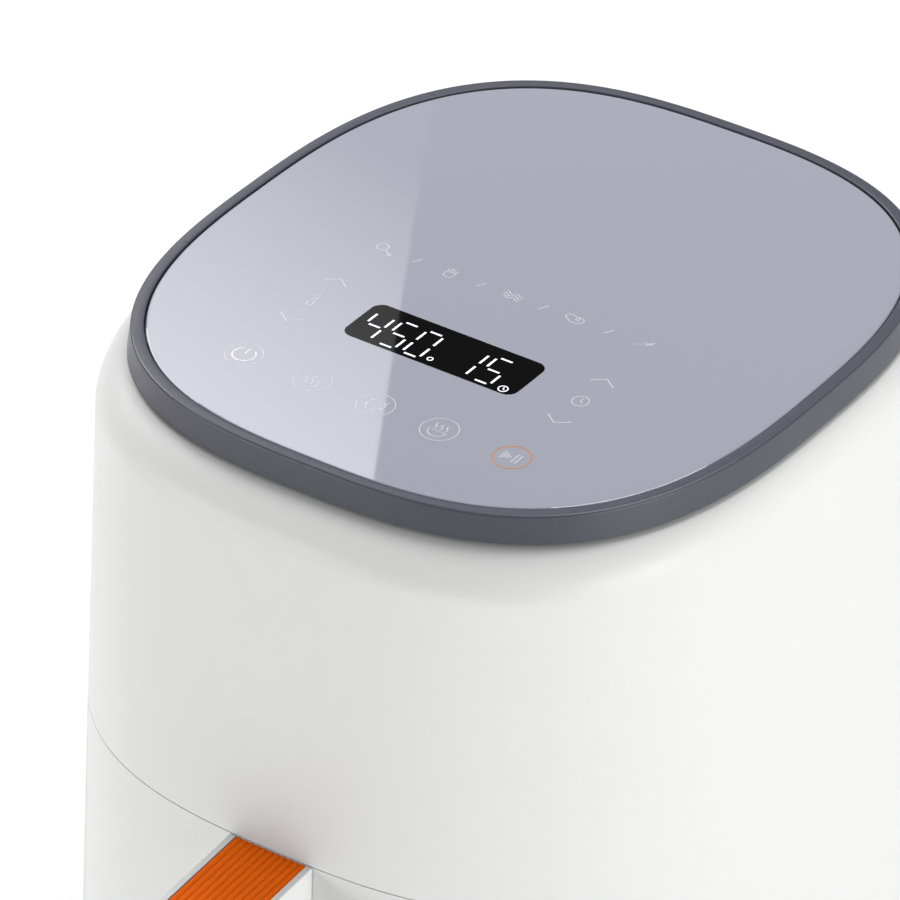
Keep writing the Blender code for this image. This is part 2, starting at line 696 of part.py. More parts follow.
def make_element():
    """A single loop of sheathed tube, its two ends turned up towards the terminals."""
    z = DECK_TOP + ELEMENT_RISE
    end = DOME_TOP - ELEMENT_STOP
    arc = [math.radians(100 + 340 * i / 32) for i in range(33)]
    points = [(math.cos(a) * ELEMENT_LOOP, CAVITY_Y + math.sin(a) * ELEMENT_LOOP, z) for a in arc]
    first, last = points[0], points[-1]
    points = [(first[0], first[1], end)] + points + [(last[0], last[1], end)]
    curve = bpy.data.curves.new("heating_element", "CURVE")
    curve.dimensions = "3D"
    curve.bevel_depth = ELEMENT_RADIUS
    curve.bevel_resolution = 2
    curve.use_fill_caps = True
    spline = curve.splines.new("POLY")
    spline.points.add(len(points) - 1)
    for target, point in zip(spline.points, points):
        target.co = (*point, 1)
    curve.materials.append(element_metal())
    made = bpy.data.objects.new("heating_element", curve)
    bpy.context.scene.collection.objects.link(made)
    made.parent = EMPTIES["air_fryer"]
    for side, (x, y) in zip(("right", "left"), terminal_places()):
        collar, step, tip = SHIELD_TOP + 0.004, SHIELD_TOP + 0.005, SHIELD_TOP + 0.010
        profile = [(TERMINAL_RADIUS, end + GAP), (TERMINAL_RADIUS, collar)]
        profile += [(PIN_RADIUS, step), (PIN_RADIUS, tip)]
        turned(f"heater_terminal_{side}", profile, white_plastic(), (x, y, 0), count=12)


def make_sensors():
    x, y = PROBE_PLACE
    head = SHIELD_TOP + GAP
    flange = 2.5 * PIN_RADIUS
    profile = [(PIN_RADIUS, DECK_TOP + 0.004), (PIN_RADIUS, head), (flange, head), (flange, head + 0.004)]
    turned("temperature_probe", profile, steel(), (x, y, 0), count=12)
    seat = DECK_TOP + GAP
    profile = [(CUTOUT_RADIUS, seat), (CUTOUT_RADIUS, seat + 0.006)]
    profile += [(0.75 * CUTOUT_RADIUS, seat + 0.0075)]
    y = CAVITY_Y + DOME_HALF_DEPTH + 1.75 * CUTOUT_RADIUS
    turned("thermal_cutout", profile, black_plastic(), (CUTOUT_X, y, 0), count=16)


def make_grille():
    top = DECK_Z - GAP
    half_width = LINER_HALF_WIDTH - LINER_WALL - GAP
    half_depth = CAVITY_Y - LINER_FRONT - GAP
    levels = [level(half_width, half_depth, z, 6, CAVITY_Y) for z in (top - GRILLE_THICKNESS, top)]
    grille = loft("heater_grille", levels, steel(), count=40)
    slots = []
    pitch = half_width / (GRILLE_SLOTS + 1.8)
    for i in range(-GRILLE_SLOTS, GRILLE_SLOTS + 1):
        x = i * pitch
        reach = half_depth * 0.82 - 0.0025 * abs(i)
        low = (x - pitch / 2 + GRILLE_BAR, CAVITY_Y - reach, top - THROUGH)
        high = (x + pitch / 2 - GRILLE_BAR, CAVITY_Y - GRILLE_BAR, top + THROUGH)
        slots.append((low, high))
        rear = (low[0], CAVITY_Y + GRILLE_BAR, low[2])
        slots.append((rear, (high[0], CAVITY_Y + reach, high[2])))
    return boolean(grille, boxes("grille_slots", slots))


def make_liner():
    bottom = BASE_TOP + GAP
    top = DECK_Z - GAP
    half_depth = LINER_REAR + LINER_OVERRUN
    y = LINER_REAR - half_depth

    def liner_level(inset, z):
        return level(LINER_HALF_WIDTH - inset, half_depth - inset, z, 10, y)

    levels = [liner_level(0, bottom), liner_level(0, top), liner_level(LINER_WALL, top)]
    levels += [liner_level(LINER_WALL, bottom + LINER_WALL)]
    liner = loft("cavity_liner", levels, aluminised())
    low = (-CUTTER_REACH, -CUTTER_REACH, -CUTTER_REACH)
    boolean(liner, boxes("liner_front_cut", [(low, (CUTTER_REACH, LINER_FRONT, CUTTER_REACH))]))
    boolean(liner, body_solid("liner_fit", -WALL - GAP), "INTERSECT")
    hole = PLUNGER_RADIUS + SEAM
    profile = [(hole, 0), (hole, 2 * LINER_TO_BASKET)]
    place = (SWITCH_X, BASKET_REAR, SWITCH_Z)
    boolean(liner, turned("liner_switch_hole", profile, None, place, -math.pi / 2, count=12))
    front = LINER_FRONT - LOOSE_FIT
    inner_half = BASKET_HALF_WIDTH + BASKET_FLANGE + FRAME_SIDE
    low = (-LINER_HALF_WIDTH, front - FRAME_DEPTH, BASE_TOP + 5 * GAP)
    frame = boxes("front_frame", [(low, (LINER_HALF_WIDTH, front, FRAME_TOP - GAP))], coating())
    low = (-inner_half, -CUTTER_REACH, BASKET_BOTTOM - FRAME_UNDER)
    boolean(frame, boxes("frame_opening", [(low, (inner_half, 0, DRAWER_TOP - GAP))]))
    boolean(frame, body_solid("frame_fit", -WALL - GAP), "INTERSECT")
    rail_top = BASKET_TOP - BASKET_WALL - GAP
    for side, sign in (("left", -1), ("right", 1)):
        inside = sign * (BASKET_HALF_WIDTH + RAIL_SIDE)
        outside = sign * (LINER_HALF_WIDTH - LINER_WALL - RAIL_SHIM)
        low = (min(inside, outside), LINER_FRONT + LINER_WALL, rail_top - RAIL_HEIGHT)
        high = (max(inside, outside), LINER_REAR - LINER_OVERRUN, rail_top)
        boxes(f"{side}_rail", [(low, high)], steel())


def basket_rear(x):
    """The rear wall of the basket at x: its round corners bend it forward of the middle."""
    across = abs(x) / BASKET_HALF_WIDTH
    return CAVITY_Y + BASKET_HALF_DEPTH * (1 - across**BASKET_POWER) ** (1 / BASKET_POWER)


def make_switch():
    y = LINER_REAR + GAP
    half_width, half_height = SWITCH_HALF
    low = (SWITCH_X - half_width, y, SWITCH_Z - half_height)
    high = (SWITCH_X + half_width, y + SWITCH_DEPTH, SWITCH_Z + half_height)
    body = boxes("drawer_switch", [(low, high)], black_plastic())
    bore = PLUNGER_RADIUS + PLUNGER_BORE
    profile = [(bore, 0), (bore, LINER_TO_BASKET + 2 * SWITCH_DEPTH)]
    place = (SWITCH_X, BASKET_REAR, SWITCH_Z)
    boolean(body, turned("switch_bore", profile, None, place, -math.pi / 2, count=12))
    length = LINER_TO_BASKET + 0.8 * SWITCH_DEPTH
    profile = [(PLUNGER_RADIUS - PLUNGER_TIP, 0), (PLUNGER_RADIUS, PLUNGER_TIP), (PLUNGER_RADIUS, length)]
    place = (SWITCH_X, basket_rear(SWITCH_X) + GAP, SWITCH_Z)
    plunger = turned("switch_plunger", profile, white_plastic(), place, -math.pi / 2, count=12)
    plunger.parent = EMPTIES["switch_slide"]


# Air mover


def make_fan(name, radius, hub_radius, low, high, blades, look):
    """A back plate and a hub with flat radial blades below it, on the rotor's axis."""
    plate = high - FAN_PLATE
    disc = radius * FAN_DISC
    profile = [(hub_radius, low), (hub_radius, plate), (disc, plate), (disc, high)]
    profile += [(SHAFT_RADIUS + GAP, high), (SHAFT_RADIUS + GAP, low)]
    fan = turned(name, profile, look, (0, 0, 0), loop=True, parent="rotor_axis")
    mesh = bmesh.new()
    inner = hub_radius * 0.6
    for i in range(blades):
        turn = 2 * math.pi * i / blades
        along, across = (math.cos(turn), math.sin(turn)), (-math.sin(turn), math.cos(turn))
        for vert in bmesh.ops.create_cube(mesh, size=1)["verts"]:
            out = inner + (radius - inner) * (vert.co.x + 0.5)
            side = BLADE * vert.co.y
            z = low + FAN_PLATE / 2 + (high - low - FAN_PLATE) * (vert.co.z + 0.5)
            x = along[0] * out + across[0] * side
            vert.co = (x, along[1] * out + across[1] * side, z)
    return boolean(fan, add(name + "_blades", mesh, None, "rotor_axis"), "UNION")


def make_rotor():
    fan_high = DOME_TOP - DECK_THICKNESS - FAN_SPACE
    fan_low = fan_high - FAN_DEPTH
    make_fan("convection_fan", FAN_RADIUS, FAN_HUB, fan_low, fan_high, 9, aluminised())
    low = SHIELD_TOP + FAN_SPACE
    high = low + COOLING_FAN_DEPTH
    make_fan("cooling_fan", COOLING_FAN_RADIUS, COOLING_FAN_HUB, low, high, 7, black_plastic())
    profile = [(SHAFT_RADIUS, fan_low - SHAFT_END), (SHAFT_RADIUS, STATOR_TOP + SHAFT_END)]
    turned("motor_shaft", profile, steel(), (0, 0, 0), count=16, parent="rotor_axis")
    low, high = fan_low - GAP - NUT_HEIGHT, fan_low - GAP
    bore = SHAFT_RADIUS + GAP
    hexagon = bore / math.cos(math.pi / 6)
    bush("fan_nut", hexagon, NUT_RADIUS, low, high, steel(), count=6, parent="rotor_axis")
    low, high = STATOR_Z + ROTOR_SHORT, STATOR_TOP - ROTOR_SHORT
    bush("rotor_core", bore, ROTOR_RADIUS, low, high, steel(), parent="rotor_axis")


def make_motor():
    y = CAVITY_Y
    leg_x, leg_side = BRACKET_LEG
    legs = [(sx * leg_x, y + sy * leg_side) for sx in (-1, 1) for sy in (-1, 1)]
    plate = block((0, y), MOTOR_BRACKET, BRACKET_Z, BRACKET_TOP)
    bracket = boxes("motor_bracket", [plate], steel())
    middle = (BRACKET_Z + BRACKET_TOP) / 2
    low, high = BRACKET_Z - THROUGH, BRACKET_TOP + THROUGH
    posts = prisms("bracket_legs", legs, BRACKET_LEG_RADIUS, SHIELD_TOP + GAP, middle)
    boolean(bracket, posts, "UNION")
    hole = BEARING_RADIUS + GAP
    boolean(bracket, prisms("bracket_hole", [(0, y)], hole, low, high, 16))
    leg_y = y + STATOR_LEG_Y
    leg_end = leg_y + STATOR_LEG
    window = COIL_HALF_WIDTH + COIL_CLEARANCE
    front = (-window, leg_y - STATOR_LEG - COIL_CLEARANCE, low)
    back = (window, leg_end + COIL_MARGIN + COIL_CLEARANCE, high)
    boolean(bracket, boxes("bracket_window", [(front, back)]))
    front = (-STATOR_HALF_WIDTH, y - STATOR_FRONT, STATOR_Z)
    stator = boxes("motor_stator", [(front, (STATOR_HALF_WIDTH, leg_end, STATOR_TOP))], steel())
    low, high = STATOR_Z - THROUGH, STATOR_TOP + THROUGH
    bore = ROTOR_RADIUS + AIR_GAP
    boolean(stator, prisms("stator_bore", [(0, y)], bore, low, high, 24))
    front = (-window, leg_y - STATOR_LEG, low)
    boolean(stator, boxes("stator_window", [(front, (window, leg_y, high))]))
    front = (-COIL_HALF_WIDTH, leg_y - STATOR_LEG + 2 * AIR_GAP, STATOR_Z - COIL_MARGIN)
    back = (COIL_HALF_WIDTH, leg_end + COIL_MARGIN, STATOR_TOP + COIL_MARGIN)
    coil = boxes("motor_coil", [(front, back)], copper())
    front = (-STATOR_HALF_WIDTH, leg_y - GAP, STATOR_Z - GAP)
    back = (STATOR_HALF_WIDTH, leg_end + GAP, STATOR_TOP + GAP)
    boolean(coil, boxes("coil_opening", [(front, back)]))
    shaft = SHAFT_RADIUS + GAP
    low = BRACKET_Z - (BEARING_HEIGHT - BRACKET_THICKNESS)
    bush("lower_bearing", shaft, BEARING_RADIUS, low, BRACKET_TOP, copper(), y=y)
    low = STATOR_TOP + GAP
    bush("upper_bearing", shaft, BEARING_RADIUS, low, low + BEARING_HEIGHT, copper(), y=y)
    high = low + BRIDGE_THICKNESS
    plate = block((0, y), (STATOR_HALF_WIDTH, BRIDGE_HALF_DEPTH), low, high)
    bridge = boxes("bearing_bridge", [plate], steel())
    boolean(bridge, prisms("bridge_hole", [(0, y)], hole, low - THROUGH, high + THROUGH, 16))


# Drawer


def make_drawer_front():
    half = OPENING_HALF_WIDTH - SEAM
    low, high = OPENING_BOTTOM + SEAM, DRAWER_TOP
    front = body_solid("drawer_front", 0, white_plastic(), "drawer_slide")
    corners = ((-half, -CUTTER_REACH, low), (half, DRAWER_BACK, high))
    boolean(front, boxes("drawer_block", [corners], parent="drawer_slide"), "INTERSECT")
    pocket = body_solid("drawer_pocket", -DRAWER_WALL, None, "drawer_slide")
    wall = DRAWER_WALL
    back = (half - wall, DRAWER_BACK + THROUGH, high - wall)
    inner = ((-half + wall, -CUTTER_REACH, low + wall), back)
    boolean(pocket, boxes("pocket_block", [inner], parent="drawer_slide"), "INTERSECT")
    boolean(front, pocket)
    for side, x, z in screw_places():
        profile = [(SCREW_RADIUS + GAP, 0), (SCREW_RADIUS + GAP, 0.06)]
        place = (x, DRAWER_BACK, z)
        hole = turned(f"front_hole_{side}", profile, None, place, math.pi / 2, count=12)
        boolean(front, hole)
    cover_front = DRAWER_BACK + GAP
    half -= COVER_INSET
    low, high = low + COVER_INSET, high - COVER_INSET
    corners = ((-half, cover_front, low), (half, cover_front + COVER_THICKNESS, high))
    boxes("drawer_inner_cover", [corners], coating(), "drawer_slide")
    bracket_front = cover_front + COVER_THICKNESS + GAP
    low = (-BRACKET_HALF_WIDTH, bracket_front, BASKET_BOTTOM + BRACKET_LIFT)
    high = (BRACKET_HALF_WIDTH, BASKET_FRONT - GAP, BASKET_TOP - BRACKET_DROP)
    boxes("basket_bracket", [(low, high)], steel(), "drawer_slide")


def bend_centre():
    """Centre of the handle's bend, so that its top line meets the drawer's top front edge."""
    y = -BELLY_HALF_DEPTH - HANDLE_REACH + HANDLE_BEND
    edge_y = -half_at(DRAWER_TOP)[1]
    rise = HANDLE_BEND + math.sin(HANDLE_SLOPE) * (edge_y - y)
    return y, DRAWER_TOP - rise / math.cos(HANDLE_SLOPE)


def handle_line(inset, end_z, steps=8):
    """The handle's outer face in the YZ plane, moved inwards: root, bend and lower end."""
    y, z = bend_centre()
    radius = HANDLE_BEND - inset
    start = math.pi / 2 + HANDLE_SLOPE
    turns = [start + (math.pi - start) * i / steps for i in range(steps + 1)]
    arc = [(y + radius * math.cos(a), z + radius * math.sin(a)) for a in turns]
    reach = HANDLE_REACH + HANDLE_ROOT
    root = (arc[0][0] + reach * math.cos(HANDLE_SLOPE), arc[0][1] + reach * math.sin(HANDLE_SLOPE))
    return [root] + arc + [(arc[-1][0], end_z)]


def screw_places():
    z = DRAWER_TOP - HANDLE_THICKNESS / 2 - SCREW_RADIUS
    return [("left", -SCREW_SPACING / 2, z), ("right", SCREW_SPACING / 2, z)]


def make_handle():
    end_z = DRAWER_TOP - HANDLE_DROP
    points = handle_line(0, end_z) + handle_line(HANDLE_THICKNESS, end_z)[::-1]
    handle = extruded_side("handle", points, HANDLE_HALF_WIDTH, white_plastic(), "drawer_slide")
    bevel = handle.modifiers.new("edges", "BEVEL")
    bevel.width = HANDLE_EDGE
    bevel.segments = 2
    bevel.limit_method = "ANGLE"
    bevel.angle_limit = math.radians(40)
    boolean(handle, body_solid("handle_clearance", GAP, None, "drawer_slide"))
    inlay_end = end_z + INLAY_END
    recess_end = inlay_end - GAP
    points = handle_line(-2 * INLAY_DEPTH, recess_end)
    points += handle_line(INLAY_DEPTH + GAP, recess_end)[::-1]
    recess = extruded_side("inlay_recess", points, INLAY_HALF_WIDTH + GAP, None, "drawer_slide")
    boolean(handle, recess)
    points = handle_line(0, inlay_end) + handle_line(INLAY_DEPTH, inlay_end)[::-1]
    inlay = extruded_side("handle_inlay", points, INLAY_HALF_WIDTH, orange_plastic(), "drawer_slide")
    boolean(inlay, body_solid("inlay_clearance", GAP, None, "drawer_slide"))
    for side, x, z in screw_places():
        wall = surface_y(x, z, -DRAWER_WALL)
        length = DRAWER_WALL + SCREW_BITE
        profile = [(SCREW_RADIUS + GAP, 0), (SCREW_RADIUS + GAP, length + 3 * GAP)]
        place = (x, -wall, z)
        bore = turned(f"handle_bore_{side}", profile, None, place, math.pi / 2, count=12)
        boolean(handle, bore)
        seat = -3 * GAP
        profile = [(SCREW_HEAD_RADIUS, seat - SCREW_HEAD_HEIGHT), (SCREW_HEAD_RADIUS, seat)]
        profile += [(SCREW_RADIUS, seat)]
        profile += [(SCREW_RADIUS, length)]
        screw = turned(f"handle_screw_{side}", profile, steel(), place, math.pi / 2, count=12)
        screw.parent = EMPTIES["drawer_slide"]


def basket_level(inset, z):
    half_width, half_depth = BASKET_HALF_WIDTH - inset, BASKET_HALF_DEPTH - inset
    return level(half_width, half_depth, z, BASKET_POWER, CAVITY_Y)


def make_basket():
    wall = BASKET_WALL
    fillet = BASKET_FILLET
    chord = 0.3 * fillet  # where the middle of a round corner lies, from either face
    rim = BASKET_TOP - wall
    levels = [basket_level(fillet, BASKET_BOTTOM), basket_level(chord, BASKET_BOTTOM + chord)]
    levels += [basket_level(0, BASKET_BOTTOM + fillet), basket_level(0, rim)]
    levels += [basket_level(-BASKET_FLANGE, rim), basket_level(-BASKET_FLANGE, BASKET_TOP)]
    levels += [basket_level(wall, BASKET_TOP), basket_level(wall, BASKET_BOTTOM + fillet)]
    levels += [basket_level(chord + wall, BASKET_BOTTOM + chord + wall / 2)]
    levels += [basket_level(fillet + wall, BASKET_BOTTOM + wall)]
    loft("basket", levels, coating(), parent="drawer_slide")


def plate_holes():
    """A square grid of holes, leaving out the middle one, where the knob stands."""
    pitch = PLATE_HOLE_PITCH
    reach = [int((half - PLATE_EDGE) / pitch) for half in (BASKET_HALF_WIDTH, BASKET_HALF_DEPTH)]
    columns = range(-reach[0], reach[0] + 1)
    rows = range(-reach[1], reach[1] + 1)
    return [(i * pitch, CAVITY_Y + j * pitch) for i in columns for j in rows if i or j]


def make_plate():
    inset = BASKET_WALL + PLATE_CLEARANCE
    top = PLATE_Z + PLATE_THICKNESS
    levels = [basket_level(inset, PLATE_Z), basket_level(inset, top)]
    plate = loft("crisper_plate", levels, coating(), parent="plate_lift")
    low, high = PLATE_Z - THROUGH, top + THROUGH
    holes = prisms("plate_holes", plate_holes(), PLATE_HOLE_RADIUS, low, high, parent="plate_lift")
    boolean(plate, holes)
    bumper_low = BASKET_BOTTOM + BASKET_WALL + GAP
    x = BASKET_HALF_WIDTH - inset - BUMPER_INSET
    y = BASKET_HALF_DEPTH - inset - BUMPER_INSET
    for i, (sx, sy) in enumerate([(-1, -1), (-1, 1), (1, -1), (1, 1)]):
        profile = [(BUMPER_RADIUS - 0.001, bumper_low), (BUMPER_RADIUS, bumper_low + 0.001)]
        profile += [(BUMPER_RADIUS, PLATE_Z - GAP)]
        place = (sx * x, CAVITY_Y + sy * y, 0)
        turned(f"plate_foot_{i + 1}", profile, rubber(), place, count=12, parent="plate_lift")
    seat = top + GAP
    profile = [(KNOB_RADIUS * 0.55, seat), (KNOB_RADIUS * 0.45, seat + KNOB_HEIGHT * 0.5)]
    profile += [(KNOB_RADIUS, seat + KNOB_HEIGHT * 0.7), (KNOB_RADIUS, seat + KNOB_HEIGHT * 0.9)]
    profile += [(KNOB_RADIUS * 0.85, seat + KNOB_HEIGHT)]
    turned("plate_knob", profile, steel(), (0, CAVITY_Y, 0), count=20, parent="plate_lift")


def main():
    for old in list(bpy.data.objects):
        bpy.data.objects.remove(old)
    empty("air_fryer", (0, HANDLE_REACH / 2, 0))
    empty("rotor_axis", (0, CAVITY_Y, 0), "air_fryer")
    empty("drawer_slide", (0, 0, 0), "air_fryer")
    empty("plate_lift", (0, 0, 0), "drawer_slide")
    empty("switch_slide", (0, 0, 0), "air_fryer")
    make_housing()
    make_rear()
    make_base()
    make_top()
    make_electronics()
    make_dome()
    make_element()
    make_sensors()
    make_grille()
    make_liner()
    make_switch()
    make_rotor()
    make_motor()
    make_drawer_front()
    make_handle()
    make_basket()
    make_plate()


main()
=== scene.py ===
"""Looks for the countertop air fryer: fine shells, touch top, ribbed handle, materials, light, camera."""

import json
import math

import bmesh
import bpy
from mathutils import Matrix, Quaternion, Vector


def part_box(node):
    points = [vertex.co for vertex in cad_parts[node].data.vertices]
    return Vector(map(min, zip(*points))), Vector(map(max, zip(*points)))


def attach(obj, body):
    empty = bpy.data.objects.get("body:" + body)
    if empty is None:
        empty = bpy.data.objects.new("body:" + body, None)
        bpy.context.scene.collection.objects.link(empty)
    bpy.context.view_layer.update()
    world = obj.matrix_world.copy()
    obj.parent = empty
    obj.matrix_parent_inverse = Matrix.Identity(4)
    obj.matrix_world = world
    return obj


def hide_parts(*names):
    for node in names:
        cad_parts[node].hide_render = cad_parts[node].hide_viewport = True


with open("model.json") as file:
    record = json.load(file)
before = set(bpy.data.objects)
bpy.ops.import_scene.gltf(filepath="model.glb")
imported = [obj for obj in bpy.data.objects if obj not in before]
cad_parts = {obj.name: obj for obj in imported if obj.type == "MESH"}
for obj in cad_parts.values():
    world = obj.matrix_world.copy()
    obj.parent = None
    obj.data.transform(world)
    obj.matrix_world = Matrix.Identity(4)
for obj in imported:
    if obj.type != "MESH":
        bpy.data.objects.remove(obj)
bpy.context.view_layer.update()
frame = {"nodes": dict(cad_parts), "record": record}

# Sizes shared with the CAD model, and the levels read from its frame
POWER = 2.78
WALL = 0.0025
GAP = 0.0003
SEAM = 0.0006
TOP_SEAM = 0.0004
TUCK = 0.0085
TAPER = (0.0098, 0.0101)
BELLY_Z = 0.065
SHOULDER_DROP = 0.0158
RING_FLARE = 0.0012
RING_LIP = 0.0043
NECK_INSET = 0.0020
RING_SKIRT = 0.0087
RING_EDGE = 0.0009
LIP_EDGE = 0.0004
LEDGE_WIDTH = 0.0042
SKIRT_WALLS = (0.0048, 0.0068)
HANDLE_BEND = 0.0150
HANDLE_SLOPE = math.radians(4)
HANDLE_THICKNESS = 0.0140
HANDLE_EDGE = 0.0005
HANDLE_INNER_EDGE = 0.0020
INLAY_DEPTH = 0.0018
INLAY_GAP = 0.0001
RIBS = 11
RIB_DEPTH = 0.0005
OPENING_HALF_WIDTH = 0.1050

housing_low, housing_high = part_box("outer_housing")
ring_low, ring_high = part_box("top_ring")
glass_low, glass_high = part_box("glass_panel")
front_low, front_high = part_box("drawer_front")
handle_low, handle_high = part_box("handle")
inlay_low, inlay_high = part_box("handle_inlay")
basket_low, basket_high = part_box("basket")

HEIGHT = ring_high.z
BODY_Y = (ring_low.y + ring_high.y) / 2
BELLY = (housing_high.x, housing_high.y - BODY_Y)
RING = (ring_high.x - RING_FLARE, ring_high.y - BODY_Y - RING_FLARE)
NECK = (RING[0] - NECK_INSET, RING[1] - NECK_INSET)
BASE_Z = housing_low.z
NECK_Z = housing_high.z
SHOULDER_Z = NECK_Z - SHOULDER_DROP
GLASS_TOP = glass_high.z
DRAWER_TOP = front_high.z
FINE = 256  # points round a body outline


# Meshes


def add(name, mesh, look, smooth=32):
    bmesh.ops.recalc_face_normals(mesh, faces=mesh.faces)
    data = bpy.data.meshes.new(name)
    mesh.to_mesh(data)
    mesh.free()
    data.shade_smooth()
    data.set_sharp_from_angle(angle=math.radians(smooth))
    made = bpy.data.objects.new(name, data)
    bpy.context.scene.collection.objects.link(made)
    if look is not None:
        data.materials.append(look)
    return made


def superellipse(half_width, half_depth, power, count, y):
    points = []
    for i in range(count):
        angle = 2 * math.pi * i / count
        across = abs(math.cos(angle)) / half_width
        along = abs(math.sin(angle)) / half_depth
        radius = (across**power + along**power) ** (-1 / power)
        points.append((radius * math.cos(angle), y + radius * math.sin(angle)))
    return points


def skin(mesh, rings, loop):
    """Quads between rings of points; the ends are capped unless the rings form a loop."""
    made = [[mesh.verts.new(point) for point in ring] for ring in rings]
    pairs = list(zip(made, made[1:]))
    if loop:
        pairs.append((made[-1], made[0]))
    else:
        mesh.faces.new(made[0])
        mesh.faces.new(made[-1])
    count = len(made[0])
    for lower, upper in pairs:
        for i in range(count):
            j = (i + 1) % count
            mesh.faces.new((lower[i], lower[j], upper[j], upper[i]))


def loft(name, levels, look, loop=False, count=FINE, power=POWER, y=None, smooth=32):
    """Skin through superellipse outlines given as (half width, half depth, z)."""
    centre = BODY_Y if y is None else y
    rings = []
    for half_width, half_depth, z in levels:
        outline = superellipse(half_width, half_depth, power, count, centre)
        rings.append([(a, b, z) for a, b in outline])
    mesh = bmesh.new()
    skin(mesh, rings, loop)
    return add(name, mesh, look, smooth)


def boxes(name, corners, look=None):
    mesh = bmesh.new()
    for low, high in corners:
        for vert in bmesh.ops.create_cube(mesh, size=1)["verts"]:
            vert.co = [(a + b) / 2 + c * (b - a) for a, b, c in zip(low, high, vert.co)]
    return add(name, mesh, look)


def apply_boolean(target, cutter, operation="DIFFERENCE", keep=False, smooth=32):
    modifier = target.modifiers.new("cut", "BOOLEAN")
    modifier.object = cutter
    modifier.operation = operation
    modifier.solver = "EXACT"
    graph = bpy.context.evaluated_depsgraph_get()
    data = bpy.data.meshes.new_from_object(target.evaluated_get(graph))
    target.modifiers.clear()
    target.data = data
    data.shade_smooth()
    data.set_sharp_from_angle(angle=math.radians(smooth))
    if not keep:
        bpy.data.objects.remove(cutter)
    return target


def finish_piece(piece, body, slot, *nodes):
    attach(piece, body)
    if nodes:
        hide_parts(*nodes)
    return piece


# Body shape, the same formulas as the CAD model


def half_at(z):
    if z < BELLY_Z:
        inset = TUCK * ((BELLY_Z - z) / (BELLY_Z - BASE_Z)) ** 3
        return BELLY[0] - inset, BELLY[1] - inset
    share = (z - BELLY_Z) / (SHOULDER_Z - BELLY_Z)
    return BELLY[0] - TAPER[0] * share, BELLY[1] - TAPER[1] * share


def side_levels(offset, steps=24):
    heights = [BASE_Z + (BELLY_Z - BASE_Z) * i / steps for i in range(steps)]
    heights += [BELLY_Z + (SHOULDER_Z - BELLY_Z) * i / 6 for i in range(7)]
    levels = []
    for z in heights:
        half_width, half_depth = half_at(z)
        levels.append((half_width + offset, half_depth + offset, z))
    return levels


def shoulder_levels(offset, steps):
    shoulder = half_at(SHOULDER_Z)
    levels = []
    for i in range(1, steps + 1):
        turn = math.pi / 2 * i / steps
        out, up = math.cos(turn), math.sin(turn)
        width = NECK[0] + (shoulder[0] - NECK[0]) * out + offset
        depth = NECK[1] + (shoulder[1] - NECK[1]) * out + offset
        levels.append((width, depth, SHOULDER_Z + (SHOULDER_DROP + offset) * up))
    return levels


# Materials


def principled(name, colour, roughness, metallic=0.0):
    made = bpy.data.materials.new(name)
    made.use_nodes = True
    shader = made.node_tree.nodes["Principled BSDF"]
    shader.inputs["Base Color"].default_value = (*colour, 1)
    shader.inputs["Roughness"].default_value = roughness
    shader.inputs["Metallic"].default_value = metallic
    return made, shader


def grain(made, shader, scale, depth, strength=1.0, detail=3.0, stretch=(1, 1, 1)):
    """A fine bump in object coordinates."""
    nodes, links = made.node_tree.nodes, made.node_tree.links
    coords = nodes.new("ShaderNodeTexCoord")
    mapping = nodes.new("ShaderNodeMapping")
    mapping.inputs["Scale"].default_value = stretch
    noise = nodes.new("ShaderNodeTexNoise")
    noise.inputs["Scale"].default_value = scale
    noise.inputs["Detail"].default_value = detail
    bump = nodes.new("ShaderNodeBump")
    bump.inputs["Distance"].default_value = depth
    bump.inputs["Strength"].default_value = strength
    links.new(coords.outputs["Object"], mapping.inputs["Vector"])
    links.new(mapping.outputs["Vector"], noise.inputs["Vector"])
    links.new(noise.outputs["Fac"], bump.inputs["Height"])
    links.new(bump.outputs["Normal"], shader.inputs["Normal"])
    return mapping, noise


def vary(made, shader, socket, low, high, scale, mapping=None, detail=4.0):
    """Let a noise move one input between two values."""
    nodes, links = made.node_tree.nodes, made.node_tree.links
    noise = nodes.new("ShaderNodeTexNoise")
    noise.inputs["Scale"].default_value = scale
    noise.inputs["Detail"].default_value = detail
    if mapping is None:
        coords = nodes.new("ShaderNodeTexCoord")
        links.new(coords.outputs["Object"], noise.inputs["Vector"])
    else:
        links.new(mapping.outputs["Vector"], noise.inputs["Vector"])
    ramp = nodes.new("ShaderNodeValToRGB")
    ramp.color_ramp.elements[0].position = 0.3
    ramp.color_ramp.elements[1].position = 0.7
    for element, value in zip(ramp.color_ramp.elements, (low, high)):
        element.color = (*value, 1) if isinstance(value, tuple) else (value, value, value, 1)
    links.new(noise.outputs["Fac"], ramp.inputs["Fac"])
    links.new(ramp.outputs["Color"], shader.inputs[socket])


def shade(colour, factor):
    return tuple(channel * factor for channel in colour)


def plastic(name, colour, roughness, grain_scale=1400, depth=0.00004, spread=0.03, gloss=0.5):
    """Moulded plastic: a fine spark-eroded grain, with slightly uneven colour and gloss."""
    made, shader = principled(name, colour, roughness)
    shader.inputs["Specular IOR Level"].default_value = gloss
    mapping, _ = grain(made, shader, grain_scale, depth)
    vary(made, shader, "Base Color", shade(colour, 1 - spread), shade(colour, 1 + spread), 18, mapping)
    vary(made, shader, "Roughness", roughness * 0.9, roughness * 1.1, 55, mapping)
    return made


